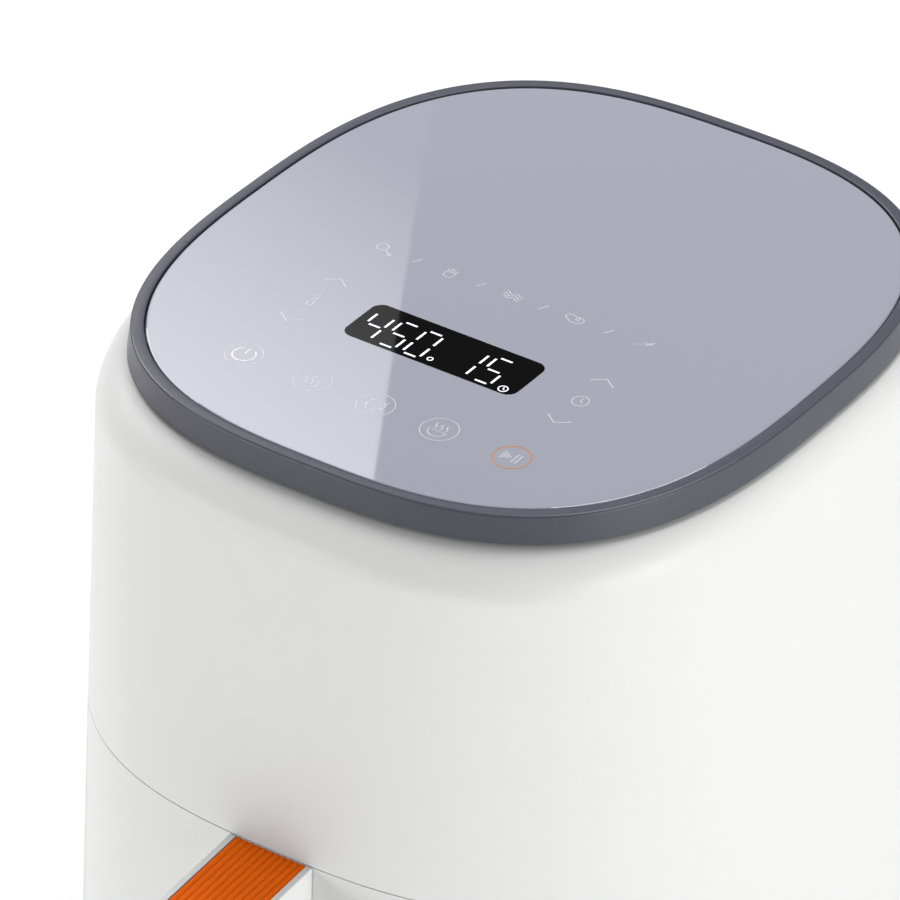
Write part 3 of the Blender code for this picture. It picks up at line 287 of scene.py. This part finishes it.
def metal(name, colour, roughness, stretch=(1, 1, 1), scale=900, depth=0.00002):
    """Sheet or turned metal, brushed where the stretch is uneven."""
    made, shader = principled(name, colour, roughness, 1.0)
    mapping, _ = grain(made, shader, scale, depth, stretch=stretch)
    vary(made, shader, "Roughness", roughness * 0.75, roughness * 1.3, 140, mapping)
    vary(made, shader, "Base Color", shade(colour, 0.88), shade(colour, 1.06), 30, mapping)
    return made


def dull_bounce_painted_shade(made, colour):
    """Let diffuse bounces meet a duller colour, so that the part doesn't tint what stands beside it; the
    dark bounce colour paints a grey shade on its neighbours and between its own ribs.
    """
    nodes, links = made.node_tree.nodes, made.node_tree.links
    path = nodes.new("ShaderNodeLightPath")
    dull = nodes.new("ShaderNodeBsdfDiffuse")
    dull.inputs["Color"].default_value = (*colour, 1)
    mix = nodes.new("ShaderNodeMixShader")
    links.new(path.outputs["Is Diffuse Ray"], mix.inputs[0])
    links.new(nodes["Principled BSDF"].outputs["BSDF"], mix.inputs[1])
    links.new(dull.outputs["BSDF"], mix.inputs[2])
    links.new(mix.outputs["Shader"], nodes["Material Output"].inputs["Surface"])


WHITE = plastic("white_textured_plastic", (0.79, 0.79, 0.785), 0.42, 1500, 0.00005, 0.006)
SLATE = plastic("slate_satin_plastic", (0.066, 0.066, 0.088), 0.36, 1700, 0.00003)
# A lighter copy of the slate for the upward lip faces: a painted highlight for the light falling on the top
# of the ring.
SLATE_PAINTED_TOP_LIGHT = plastic("slate_satin_painted_top_highlight", (0.098, 0.099, 0.132), 0.30, 1700, 0.00003)
BLACK = plastic("black_plastic_inside", (0.022, 0.022, 0.024), 0.45)
ORANGE = plastic("orange_satin_plastic", (0.98, 0.150, 0.0005), 0.5, 1500, 0.00002, 0.02, 0.06)

# The dull brown-grey bounce colour paints a grey shade on the body above the inlay, in place of an orange
# glow.
dull_bounce_painted_shade(ORANGE, (0.20, 0.10, 0.06))
RUBBER = plastic("black_silicone_rubber", (0.03, 0.03, 0.03), 0.75, 900, 0.00008)
CERAMIC = plastic("ceramic_bush", (0.74, 0.72, 0.66), 0.6, 700, 0.00006)
BOARD = plastic("green_solder_mask", (0.03, 0.17, 0.07), 0.4, 300, 0.00008, 0.12)
STEEL = metal("brushed_steel", (0.55, 0.55, 0.56), 0.3, (1, 9, 1))
ALUMINISED = metal("aluminised_sheet", (0.66, 0.67, 0.68), 0.34, (1, 1, 1), 260, 0.00003)
COPPER = metal("enamelled_copper", (0.70, 0.30, 0.13), 0.32, (1, 1, 30), 160, 0.0002)
BRONZE = metal("sintered_bronze", (0.55, 0.36, 0.16), 0.45)
SHEATH = metal("element_sheath", (0.20, 0.185, 0.17), 0.42, (1, 1, 1), 500)


def coating_material():
    """Dark non-stick coating with a fine pale fleck."""
    made, shader = principled("nonstick_coating", (0.05, 0.05, 0.053), 0.33, 0.0)
    mapping, _ = grain(made, shader, 1100, 0.00005)
    vary(made, shader, "Base Color", (0.035, 0.035, 0.037), (0.085, 0.085, 0.09), 1800, mapping, 2.0)
    vary(made, shader, "Roughness", 0.26, 0.42, 240, mapping)
    return made


COATING = coating_material()


def glass_material(name, colour, roughness=0.02, gloss=0.5):
    """A flat toughened panel: colour under a polished surface, with the faintest waviness."""
    made, shader = principled(name, colour, roughness)
    shader.inputs["IOR"].default_value = 1.52
    shader.inputs["Specular IOR Level"].default_value = gloss
    mapping, _ = grain(made, shader, 9, 0.00002, detail=1.0)
    vary(made, shader, "Base Color", shade(colour, 0.985), shade(colour, 1.015), 3, mapping, 1.0)
    return made


PANEL = glass_material("slate_glass_panel", (0.442, 0.457, 0.540))
SCREEN = glass_material("black_screen", (0.002, 0.002, 0.002), 0.02, 0.08)
MARK = glass_material("pale_print", (0.78, 0.79, 0.85), 0.1)
BRIGHT_MARK = glass_material("bright_print", (0.95, 0.94, 0.98), 0.1)
PLAY_MARK = glass_material("orange_print", (0.82, 0.27, 0.05), 0.1)


def lit(name, colour, strength):
    """A lit segment behind the glass."""
    made, shader = principled(name, colour, 0.2)
    mapping, _ = grain(made, shader, 400, 0.00001)
    vary(made, shader, "Emission Color", shade(colour, 0.92), colour, 700, mapping)
    shader.inputs["Emission Strength"].default_value = strength
    return made


SEGMENT = lit("lit_segment", (0.93, 0.94, 1.0), 0.75)


# Body


def make_housing():
    outer = side_levels(0) + shoulder_levels(0, 20)
    rim = (NECK[0] - WALL, NECK[1] - WALL, NECK_Z)
    inner = side_levels(-WALL, 12) + shoulder_levels(-WALL, 8)
    body = loft("body_shell", outer + [rim] + inner[::-1], WHITE, loop=True)
    low = (-OPENING_HALF_WIDTH, -1, front_low.z - SEAM)
    high = (OPENING_HALF_WIDTH, BODY_Y - 0.05, front_high.z + TOP_SEAM)
    apply_boolean(body, boxes("opening", [(low, high)]))
    vent_low, vent_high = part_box("rear_vent_grille")
    low = (vent_low.x - GAP, BODY_Y + 0.08, vent_low.z - GAP)
    high = (vent_high.x + GAP, 1, vent_high.z + GAP)
    apply_boolean(body, boxes("vent", [(low, high)]))
    finish_piece(body, "housing", "white_body", "outer_housing")


def make_drawer_front():
    front = loft("drawer_front_shell", side_levels(0), WHITE)
    low = (front_low.x, -1, front_low.z)
    high = (front_high.x, front_high.y, front_high.z)
    apply_boolean(front, boxes("block", [(low, high)]), "INTERSECT")
    finish_piece(front, "drawer", "white_body", "drawer_front")


def ring_section():
    """Top ring: flared wall, softly rounded top edges, and the ledge that the glass sits on."""
    radius = RING_EDGE
    wall_low = ring_low.z + RING_SKIRT
    section = [(-RING_FLARE, wall_low), (-RING_FLARE * 0.98, wall_low + 0.0003)]
    for i in range(7):
        turn = math.pi / 2 * i / 6
        section.append((radius * (1 - math.cos(turn)), HEIGHT - radius * (1 - math.sin(turn))))
    edge = LIP_EDGE
    for i in range(5):
        turn = math.pi / 2 * i / 4
        across = RING_LIP - edge * (1 - math.sin(turn))
        section.append((across, HEIGHT - edge * (1 - math.cos(turn))))
    ledge = glass_low.z - GAP
    inner = RING_LIP + LEDGE_WIDTH
    section += [(RING_LIP, ledge), (inner, ledge), (inner, ledge - 0.002)]
    skirt_out, skirt_in = SKIRT_WALLS
    section += [(skirt_in, ledge - 0.004), (skirt_in, ring_low.z), (skirt_out, ring_low.z)]
    section += [(skirt_out, wall_low)]
    return section


def make_top():
    levels = [(RING[0] - inset, RING[1] - inset, z) for inset, z in ring_section()]
    ring = loft("top_bezel", levels, SLATE, loop=True)
    # Upward faces at the top of the ring take the lighter slate copy: a painted highlight on the lip.
    ring.data.materials.append(SLATE_PAINTED_TOP_LIGHT)
    for face in ring.data.polygons:
        face.material_index = int(face.normal.z > 0.8 and face.center.z > HEIGHT - 0.001)
    finish_piece(ring, "housing", "slate_ring", "top_ring")
    inset = RING_LIP + SEAM
    levels = []
    for step, z in [(0, glass_low.z), (0, GLASS_TOP - 0.0005), (0.00015, GLASS_TOP - 0.00015)]:
        levels.append((RING[0] - inset - step, RING[1] - inset - step, z))
    levels.append((RING[0] - inset - 0.0005, RING[1] - inset - 0.0005, GLASS_TOP))
    glass = loft("touch_glass", levels, PANEL, smooth=15)
    finish_piece(glass, "housing", "top_glass", "glass_panel")


# Marks on the glass


def strokes(name, lines, radius, look, lift=0.00002):
    """Fine printed lines: flattened tubes lying on the glass, given in plan."""
    curve = bpy.data.curves.new(name, "CURVE")
    curve.dimensions = "3D"
    curve.bevel_depth = radius
    curve.bevel_resolution = 2
    curve.use_fill_caps = True
    for points, closed in lines:
        spline = curve.splines.new("POLY")
        spline.points.add(len(points) - 1)
        for target, (x, y) in zip(spline.points, points):
            target.co = (x, y, 0, 1)
        spline.use_cyclic_u = closed
    curve.materials.append(look)
    made = bpy.data.objects.new(name, curve)
    made.location = (0, BODY_Y, GLASS_TOP + lift)
    made.scale = (1, 1, 0.06)
    bpy.context.scene.collection.objects.link(made)
    return finish_piece(made, "housing", "top_glass")


def arc(x, y, radius, start, end, steps=40):
    turns = [math.radians(start + (end - start) * i / steps) for i in range(steps + 1)]
    return [(x + radius * math.cos(a), y + radius * math.sin(a)) for a in turns]


def circle(x, y, radius, steps=48):
    return arc(x, y, radius, 0, 360 * (steps - 1) / steps, steps - 1), True


MARK_Y = -0.0899
MARK_XS = (-0.0557, -0.0270, -0.0009, 0.0252, 0.0545)
MARK_RADIUS = 0.0067


DISPLAY = (-0.0017, -0.0486, 0.0355, 0.0115, 0.0042)  # centre, half sizes and corner radius


def make_display():
    x, y, half_width, half_depth, radius = DISPLAY
    rings = []
    for z in (GLASS_TOP - 0.0002, GLASS_TOP + 0.00003):
        outline = rounded(half_width, 2 * half_depth, radius, radius, 10)
        rings.append([(x + a, BODY_Y + y - half_depth + b, z) for a, b in outline])
    mesh = bmesh.new()
    skin(mesh, rings, False)
    screen = add("display_window", mesh, SCREEN)
    finish_piece(screen, "housing", "black_plastic")


DIGIT_Y = -0.0502
DIGIT_WIDTH = 0.0070
DIGIT_HALF_HEIGHT = 0.0079
SEGMENTS = {
    "a": ((0, 1), (1, 1)),
    "b": ((1, 1), (1, 0)),
    "c": ((1, 0), (1, -1)),
    "d": ((0, -1), (1, -1)),
    "e": ((0, 0), (0, -1)),
    "f": ((0, 1), (0, 0)),
    "g": ((0, 0), (1, 0)),
}
LIT = {0: "abcdef", 1: "bc", 4: "fgbc", 5: "afgcd"}


def digit(value, left):
    """Seven-segment figure, each segment stopping short of its corners."""
    lines = []
    for name in LIT[value]:
        (u, v), (p, q) = SEGMENTS[name]
        start = (left + u * DIGIT_WIDTH, DIGIT_Y + v * DIGIT_HALF_HEIGHT)
        end = (left + p * DIGIT_WIDTH, DIGIT_Y + q * DIGIT_HALF_HEIGHT)
        short = 0.0012 / math.dist(start, end)
        pair = []
        for near, far in ((start, end), (end, start)):
            pair.append(tuple(a + (b - a) * short for a, b in zip(near, far)))
        lines.append((pair, False))
    return lines


def make_digits():
    lines = []
    for value, left in ((4, -0.0332), (5, -0.0230), (0, -0.0129), (1, 0.0061), (5, 0.0163)):
        lines += digit(value, left)
    strokes("display_digits", lines, 0.00042, SEGMENT, 0.00006)
    degree = [circle(-0.0022, -0.0563, 0.0010, 20)]
    x, y = 0.0286, -0.0574
    clock = [circle(x, y, 0.0017, 24), ([(x, y + 0.0010), (x, y), (x + 0.0008, y - 0.0005)], False)]
    strokes("display_units", degree + clock, 0.00022, SEGMENT, 0.00006)


def make_touch_marks():
    rings = [circle(x, MARK_Y, MARK_RADIUS) for x in MARK_XS[1:4]]
    power_x, play_x = MARK_XS[0], MARK_XS[4]
    rings.append(circle(power_x, MARK_Y, MARK_RADIUS))
    strokes("touch_rings", rings, 0.00016, MARK)
    power = [(arc(power_x, MARK_Y, 0.0041, 125, 415), False)]
    power.append(([(power_x, MARK_Y + 0.0002), (power_x, MARK_Y + 0.0040)], False))
    strokes("power_mark", power, 0.00036, BRIGHT_MARK)
    strokes("play_ring", [circle(play_x, MARK_Y, MARK_RADIUS)], 0.00022, PLAY_MARK)
    play = []
    for inset in (0, 0.0005, 0.0010):
        left, side = play_x - 0.0038 + inset, 0.0024 - 1.6 * inset
        triangle = [(left, MARK_Y - side), (left, MARK_Y + side), (play_x - 0.0002 - 2 * inset, MARK_Y)]
        play.append((triangle, True))
    for shift in (0.0012, 0.0027):
        bar = [(play_x + shift, MARK_Y - 0.0026), (play_x + shift, MARK_Y + 0.0026)]
        play.append((bar, False))
    strokes("play_mark", play, 0.00026, MARK)


def heat_waves(x, y, height, pitch, count):
    lines = []
    for k in range(count):
        base = x + (k - (count - 1) / 2) * pitch
        wave = []
        for i in range(17):
            share = i / 16
            wave.append((base + 0.0006 * math.sin(share * 2 * math.pi), y + (share - 0.5) * height))
        lines.append((wave, False))
    return lines


def make_function_icons():
    """Generic pictures in the middle three rings: heat, shake and keep warm."""
    y = MARK_Y
    lines = heat_waves(MARK_XS[1], y, 0.0062, 0.0024, 3)
    x = MARK_XS[2]
    for side in (-1, 1):
        lines.append((arc(x, y, 0.0034, 90 - side * 60, 90 - side * 120, 12), False))
        tip = (x + side * 0.0034 * math.cos(math.radians(30)), y + 0.0017)
        barbs = ((tip[0] - side * 0.0013, tip[1] + 0.0010), (tip[0] + side * 0.0002, tip[1] + 0.0018))
        lines.append(([barbs[0], tip, barbs[1]], False))
    tray = [(x - 0.0030, y - 0.0005), (x - 0.0022, y - 0.0032)]
    tray += [(x + 0.0022, y - 0.0032), (x + 0.0030, y - 0.0005)]
    lines.append((tray, False))
    x = MARK_XS[3]
    lines += heat_waves(x, y + 0.0016, 0.0030, 0.0022, 3)
    lines.append((arc(x, y - 0.0010, 0.0034, 180, 360, 16), True))
    strokes("function_icons", lines, 0.00020, MARK)


def make_chevrons():
    lines = []
    for x in (-0.0565, 0.0542):
        for y, tip in ((-0.0358, 0.0034), (-0.0612, -0.0034)):
            lines.append(([(x - 0.0046, y), (x, y + tip), (x + 0.0046, y)], False))
    strokes("up_down_marks", lines, 0.00028, MARK)
    x, y = -0.0565, -0.0487
    lines = [([(x - 0.0007, y - 0.0012), (x - 0.0007, y + 0.0030)], False)]
    lines.append((arc(x, y + 0.0030, 0.0007, 180, 0, 8), False))
    lines.append(([(x + 0.0007, y + 0.0030), (x + 0.0007, y - 0.0012)], False))
    lines.append((arc(x, y - 0.0022, 0.0012, 125, 415, 20), False))
    x = 0.0542
    lines.append(circle(x, y, 0.0030, 36))
    lines.append(([(x, y + 0.0018), (x, y), (x + 0.0013, y - 0.0008)], False))
    strokes("temperature_and_time_icons", lines, 0.00022, MARK)


PRESET_Y = -0.0075
PRESET_XS = (-0.0559, -0.0277, -0.0018, 0.0240, 0.0518)


def drumstick(x, y):
    bone = [(x + 0.0012, y - 0.0008), (x + 0.0034, y - 0.0022)]
    meat = circle(x - 0.0010, y + 0.0006, 0.0021, 28)
    knuckle = circle(x + 0.0038, y - 0.0025, 0.0006, 14)
    return [meat, (bone, False), knuckle]


def fries(x, y):
    cup = [(x - 0.0021, y + 0.0002), (x - 0.0015, y - 0.0027)]
    cup += [(x + 0.0015, y - 0.0027), (x + 0.0021, y + 0.0002)]
    lines = [(cup, True)]
    for k, rise in ((-1.5, 0.0022), (-0.5, 0.0030), (0.5, 0.0026), (1.5, 0.0020)):
        lines.append(([(x + k * 0.0010, y + 0.0004), (x + k * 0.0012, y + rise)], False))
    return lines


def bacon(x, y):
    lines = []
    for k in (-1, 0, 1):
        wave = []
        for i in range(21):
            share = i / 20
            rise = 0.0005 * math.sin(share * 4 * math.pi)
            wave.append((x + (share - 0.5) * 0.0075, y + k * 0.0014 + rise))
        lines.append((wave, False))
    return lines


def steak(x, y):
    outline = []
    for i in range(40):
        turn = 2 * math.pi * i / 40
        radius = 0.0026 + 0.0006 * math.cos(2 * turn + 0.5) + 0.0003 * math.sin(3 * turn)
        outline.append((x + 1.15 * radius * math.cos(turn), y + 0.9 * radius * math.sin(turn)))
    return [(outline, True), circle(x + 0.0010, y + 0.0005, 0.0007, 16)]


def carrot(x, y):
    root = [(x - 0.0034, y - 0.0020), (x + 0.0008, y + 0.0016), (x + 0.0018, y + 0.0004)]
    leaves = [([(x + 0.0013, y + 0.0010), (x + 0.0034, y + 0.0012 + k * 0.0010)], False) for k in (0, 1, 2)]
    return [(root, True)] + leaves


def make_presets():
    """A row of generic food pictures with slanting strokes between them."""
    lines = []
    for draw, x in zip((drumstick, fries, bacon, steak, carrot), PRESET_XS):
        lines += draw(x, PRESET_Y)
    for a, b in zip(PRESET_XS, PRESET_XS[1:]):
        middle = (a + b) / 2
        lines.append(([(middle - 0.0010, PRESET_Y - 0.0018), (middle + 0.0010, PRESET_Y + 0.0018)], False))
    strokes("preset_icons", lines, 0.00022, MARK)


# Handle


def bend_centre():
    y = handle_low.y + HANDLE_BEND
    edge_y = BODY_Y - half_at(DRAWER_TOP)[1]
    rise = HANDLE_BEND + math.sin(HANDLE_SLOPE) * (edge_y - y)
    return y, DRAWER_TOP - rise / math.cos(HANDLE_SLOPE)


def handle_frames(end_z, steps=24):
    """Points of the outer face and the inward direction there, from the root to the lower end."""
    y, z = bend_centre()
    start = math.pi / 2 + HANDLE_SLOPE
    frames = []
    first = (y + HANDLE_BEND * math.cos(start), z + HANDLE_BEND * math.sin(start))
    inward = (-math.cos(start), -math.sin(start))
    edge_y = BODY_Y - half_at(DRAWER_TOP)[1] + 0.012
    reach = (edge_y - first[0]) / math.cos(HANDLE_SLOPE)
    for i in range(9):
        back = reach * (1 - i / 9)
        point = (first[0] + back * math.cos(HANDLE_SLOPE), first[1] + back * math.sin(HANDLE_SLOPE))
        frames.append((point, inward))
    for i in range(steps + 1):
        turn = start + (math.pi - start) * i / steps
        out = (math.cos(turn), math.sin(turn))
        frames.append(((y + HANDLE_BEND * out[0], z + HANDLE_BEND * out[1]), (-out[0], -out[1])))
    last = frames[-1][0]
    for i in range(1, 9):
        frames.append(((last[0], last[1] + (end_z - last[1]) * i / 8), (1, 0)))
    return frames


def sweep(name, frames, section, look, smooth=40):
    """Carry a section, given as (across, depth below the outer face), along the handle."""
    rings = []
    for (y, z), (in_y, in_z) in frames:
        rings.append([(x, y + in_y * depth, z + in_z * depth) for x, depth in section])
    mesh = bmesh.new()
    skin(mesh, rings, False)
    return add(name, mesh, look, smooth)


def rounded(half_width, depth, outer, inner, steps=6):
    """Rounded rectangle: outer edges and inner edges have their own radius."""
    corners = [(half_width - outer, outer, outer, -90), (half_width - inner, depth - inner, inner, 0)]
    corners += [(-half_width + inner, depth - inner, inner, 90), (-half_width + outer, outer, outer, 180)]
    points = []
    for x, y, radius, start in corners:
        for i in range(steps + 1):
            turn = math.radians(start + 90 * i / steps)
            points.append((x + radius * math.cos(turn), y + radius * math.sin(turn)))
    return points


def make_handle():
    half = handle_high.x
    section = rounded(half, HANDLE_THICKNESS, HANDLE_EDGE, HANDLE_INNER_EDGE)
    body = sweep("handle_hook", handle_frames(handle_low.z), section, WHITE)
    clearance = loft("clearance", side_levels(GAP), None, count=512)
    apply_boolean(body, clearance, keep=True)
    slot_half = inlay_high.x + INLAY_GAP
    floor = INLAY_DEPTH + INLAY_GAP
    section = [(-slot_half, -0.004), (slot_half, -0.004), (slot_half, floor), (-slot_half, floor)]
    recess = sweep("recess", handle_frames(inlay_low.z - GAP), section, None)
    apply_boolean(body, recess)
    finish_piece(body, "drawer", "white_body", "handle")
    half = inlay_high.x
    steps = RIBS * 10
    section = []
    for i in range(steps + 1):
        valley = (1 + math.cos(2 * math.pi * RIBS * i / steps)) / 2
        section.append((-half + 2 * half * i / steps, RIB_DEPTH * valley**1.4))
    section += [(half, INLAY_DEPTH), (-half, INLAY_DEPTH)]
    inlay = sweep("ribbed_inlay", handle_frames(inlay_low.z), section, ORANGE, 62)
    apply_boolean(inlay, clearance, smooth=62)
    finish_piece(inlay, "drawer", "orange_inlay", "handle_inlay")


# Basket and crisper plate

BASKET_FLANGE = 0.0022
BASKET_WALL = 0.0012
BASKET_FILLET = 0.0060
BASKET_POWER = 8
PLATE_PITCH = 0.0160
PLATE_HOLE = 0.0034
PLATE_MARGIN = 0.0110
KNOB_CLEAR = 0.0150
FOOT_CLEAR = 0.0010


def rim_turn(half_width, half_depth, top, thickness, steps=6):
    """The rolled outer edge of a rim, from its underside round to its top."""
    radius = thickness / 2
    levels = []
    for i in range(steps + 1):
        turn = -math.pi / 2 + math.pi * i / steps
        out = radius * (math.cos(turn) - 1)
        levels.append((half_width + out, half_depth + out, top - radius + radius * math.sin(turn)))
    return levels


def make_basket():
    y = (basket_low.y + basket_high.y) / 2
    outer = (basket_high.x, basket_high.y - y)
    wide, deep = outer[0] - BASKET_FLANGE, outer[1] - BASKET_FLANGE
    top, bottom = basket_high.z, basket_low.z

    def fillet(radius, steps=8):
        """Round bottom corner of the wall, as (inset, height)."""
        turns = [math.pi / 2 * i / steps for i in range(steps + 1)]
        return [(radius * (1 - math.sin(a)), radius * (1 - math.cos(a))) for a in turns]

    levels = [(wide - inset, deep - inset, bottom + rise) for inset, rise in fillet(BASKET_FILLET)]
    levels += [(wide, deep, top - BASKET_WALL)]
    levels += rim_turn(*outer, top, BASKET_WALL)
    inside = BASKET_WALL
    levels += [(wide + 0.0004, deep + 0.0004, top), (wide - inside * 0.4, deep - inside * 0.4, top - 0.0004)]
    levels += [(wide - inside, deep - inside, top - 0.0012)]
    for inset, rise in fillet(BASKET_FILLET - BASKET_WALL)[::-1]:
        levels.append((wide - inside - inset, deep - inside - inset, bottom + BASKET_WALL + rise))
    basket = loft("cooking_basket", levels, COATING, count=192, power=BASKET_POWER, y=y)
    finish_piece(basket, "drawer", "nonstick_coating", "basket")


def make_crisper_plate():
    low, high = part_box("crisper_plate")
    y = (low.y + high.y) / 2
    wide, deep = high.x, high.y - y
    soft = 0.0003
    levels = [(wide - soft, deep - soft, low.z), (wide, deep, low.z + soft)]
    levels += [(wide, deep, high.z - soft), (wide - soft, deep - soft, high.z)]
    plate = loft("perforated_plate", levels, COATING, count=192, power=BASKET_POWER, y=y)
    feet = [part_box(f"plate_foot_{k}") for k in range(1, 5)]
    taken = [((a.x + b.x) / 2, (a.y + b.y) / 2, (b.x - a.x) / 2) for a, b in feet]
    columns = int((wide - PLATE_MARGIN) / PLATE_PITCH)
    rows = int((deep - PLATE_MARGIN) / PLATE_PITCH)
    mesh = bmesh.new()
    for i in range(-columns, columns + 1):
        for j in range(-rows, rows + 1):
            place = (i * PLATE_PITCH, y + j * PLATE_PITCH)
            on_foot = [math.dist(place, (a, b)) < reach + PLATE_HOLE + FOOT_CLEAR for a, b, reach in taken]
            if math.dist(place, (0, y)) < KNOB_CLEAR or any(on_foot):
                continue
            ring = superellipse(PLATE_HOLE, PLATE_HOLE, 2, 20, 0)
            rings = []
            for z in (low.z - 0.001, high.z + 0.001):
                rings.append([(place[0] + a, place[1] + b, z) for a, b in ring])
            skin(mesh, rings, False)
    apply_boolean(plate, add("plate_holes", mesh, None))
    finish_piece(plate, "crisper", "nonstick_coating", "crisper_plate")


# Materials on the CAD pieces that stay

CAD_LOOKS = {
    "white_body": WHITE,
    "slate_ring": SLATE,
    "top_glass": PANEL,
    "orange_inlay": ORANGE,
    "black_plastic": BLACK,
    "circuit_board": BOARD,
    "steel": STEEL,
    "aluminised_steel": ALUMINISED,
    "element_metal": SHEATH,
    "ceramic": CERAMIC,
    "copper": COPPER,
    "bronze": BRONZE,
    "nonstick_coating": COATING,
    "rubber": RUBBER,
}


SOFT_EDGED = (
    "foot_",
    "relay",
    "transformer",
    "power_board",
    "motor_bracket",
    "bearing_bridge",
    "drawer_switch",
    "basket_bracket",
    "drawer_inner_cover",
    "left_rail",
    "right_rail",
    "thermal_cutout",
    "cord_gland",
    "plate_knob",
    "fan_nut",
)


def dress_cad():
    for row in frame["record"]["subparts"]:
        piece = frame["nodes"][row["node"]]
        look = CAD_LOOKS[row["material_slot"]]
        if not piece.material_slots:
            piece.data.materials.append(look)
        for slot in piece.material_slots:
            slot.material = look
        if row["node"].startswith(SOFT_EDGED):
            bevel = piece.modifiers.new("soft_edges", "BEVEL")
            bevel.width = 0.0004
            bevel.segments = 2
            bevel.limit_method = "ANGLE"
            bevel.angle_limit = math.radians(50)


# Stage


FLOOR_GLOW = 0.16  # lifts the floor to the even white of a lit backdrop


def make_stage():
    mesh = bmesh.new()
    half = 6.0
    corners = ((-half, -half, 0), (half, -half, 0), (half, half, 0), (-half, half, 0))
    mesh.faces.new([mesh.verts.new(point) for point in corners])
    made, shader = principled("pale_floor", (0.92, 0.92, 0.92), 0.8)
    shader.inputs["Emission Color"].default_value = (1, 1, 1, 1)
    shader.inputs["Emission Strength"].default_value = FLOOR_GLOW
    vary(made, shader, "Base Color", (0.915, 0.915, 0.915), (0.925, 0.925, 0.925), 2)
    floor = add("floor", mesh, made)
    world = bpy.data.worlds.new("studio")
    world.use_nodes = True
    world.node_tree.nodes["Background"].inputs["Color"].default_value = (1, 1, 1, 1)
    world.node_tree.nodes["Background"].inputs["Strength"].default_value = 0.25
    bpy.context.scene.world = world


def area_light(name, place, target, size, radiance, roll=0.0):
    """Softbox of the given width and height whose face has this radiance."""
    data = bpy.data.lights.new(name, "AREA")
    data.shape = "RECTANGLE"
    data.size, data.size_y = size
    data.energy = radiance * math.pi * size[0] * size[1]
    made = bpy.data.objects.new(name, data)
    made.location = place
    made.rotation_mode = "QUATERNION"
    facing = (Vector(target) - Vector(place)).to_track_quat("-Z", "Y")
    made.rotation_quaternion = facing @ Quaternion((0, 0, 1), roll)
    bpy.context.scene.collection.objects.link(made)
    return made


def fade(light, corner, across, along, least, most):
    """Grade a softbox over its face: strength at one corner, and how much it gains each way."""
    light.data.use_nodes = True
    nodes, links = light.data.node_tree.nodes, light.data.node_tree.links
    geometry = nodes.new("ShaderNodeNewGeometry")
    split = nodes.new("ShaderNodeSeparateXYZ")
    links.new(geometry.outputs["Parametric"], split.inputs["Vector"])
    value = None
    for output, gain in (("X", across), ("Y", along)):
        step = nodes.new("ShaderNodeMath")
        step.operation = "MULTIPLY_ADD"
        links.new(split.outputs[output], step.inputs[0])
        step.inputs[1].default_value = gain
        if value is None:
            step.inputs[2].default_value = corner
        else:
            links.new(value, step.inputs[2])
        value = step.outputs[0]
    limit = nodes.new("ShaderNodeClamp")
    limit.inputs["Min"].default_value = least
    limit.inputs["Max"].default_value = most
    links.new(value, limit.inputs["Value"])
    links.new(limit.outputs["Result"], nodes["Emission"].inputs["Strength"])


# The softbox mirrored in the glass stands behind the left side; its right edge crosses the panel
SOFTBOX_AZIMUTH = math.radians(-36.6)
SOFTBOX_ELEVATION = math.radians(32.8)
SOFTBOX_DISTANCE = 2.4
SOFTBOX_SIZE = (0.5, 0.5)
SOFTBOX_ROLL = math.radians(9.8)
SOFTBOX_FADE = (-1.93, 2.9, 7.3, 0.2, 4.0)  # strength at a corner, its gains, least and most


def make_lights():
    top = Vector((0, BODY_Y, HEIGHT))
    centre = (0, BODY_Y, HEIGHT * 0.6)
    level = math.cos(SOFTBOX_ELEVATION)
    plan = (math.sin(SOFTBOX_AZIMUTH) * level, math.cos(SOFTBOX_AZIMUTH) * level)
    away = Vector((*plan, math.sin(SOFTBOX_ELEVATION)))
    right = away.cross(Vector((0, 0, 1))).normalized()
    up = right.cross(away)
    edge = top + away * SOFTBOX_DISTANCE - right * 0.0036
    outward = right * math.cos(SOFTBOX_ROLL) + up * math.sin(SOFTBOX_ROLL)
    middle = edge - outward * (SOFTBOX_SIZE[0] / 2)
    softbox = area_light("softbox_back_left", middle, middle - away, SOFTBOX_SIZE, 1.0, -SOFTBOX_ROLL)
    fade(softbox, *SOFTBOX_FADE)
    area_light("overhead", (0.10, 0.80, 2.20), centre, (0.9, 0.9), 7.0)
    area_light("right_side", (2.2, -0.3, 0.55), centre, (1.6, 0.9), 6.2)
    area_light("front_left", (-1.4, -1.9, 0.45), centre, (1.6, 0.8), 4.5)
    area_light("left_back", (-2.0, 0.6, 1.8), centre, (1.1, 1.1), 6.5)


CAMERA_AZIMUTH = math.radians(34.91)
CAMERA_ELEVATION = math.radians(33.74)
CAMERA_DISTANCE = 2.2282
CAMERA_TARGET = (0.0355, -0.0985)  # from the centre of the top, at its height
CAMERA_LENS = 268.434


def make_camera():
    data = bpy.data.cameras.new("camera")
    data.lens = CAMERA_LENS
    data.sensor_width = 36
    camera = bpy.data.objects.new("camera", data)
    level = math.cos(CAMERA_ELEVATION)
    plan = (math.sin(CAMERA_AZIMUTH) * level, -math.cos(CAMERA_AZIMUTH) * level)
    back = Vector((*plan, math.sin(CAMERA_ELEVATION)))
    target = Vector((CAMERA_TARGET[0], BODY_Y + CAMERA_TARGET[1], HEIGHT))
    camera.location = target + back * CAMERA_DISTANCE
    camera.rotation_mode = "QUATERNION"
    camera.rotation_quaternion = (-back).to_track_quat("-Z", "Y")
    bpy.context.scene.collection.objects.link(camera)
    bpy.context.scene.camera = camera


make_camera()
make_stage()
make_lights()
dress_cad()
make_housing()
make_drawer_front()
make_top()
make_display()
make_digits()
make_touch_marks()
make_function_icons()
make_chevrons()
make_presets()
make_handle()
make_basket()
make_crisper_plate()
view_settings = bpy.context.scene.view_settings
view_settings.view_transform = "Standard"
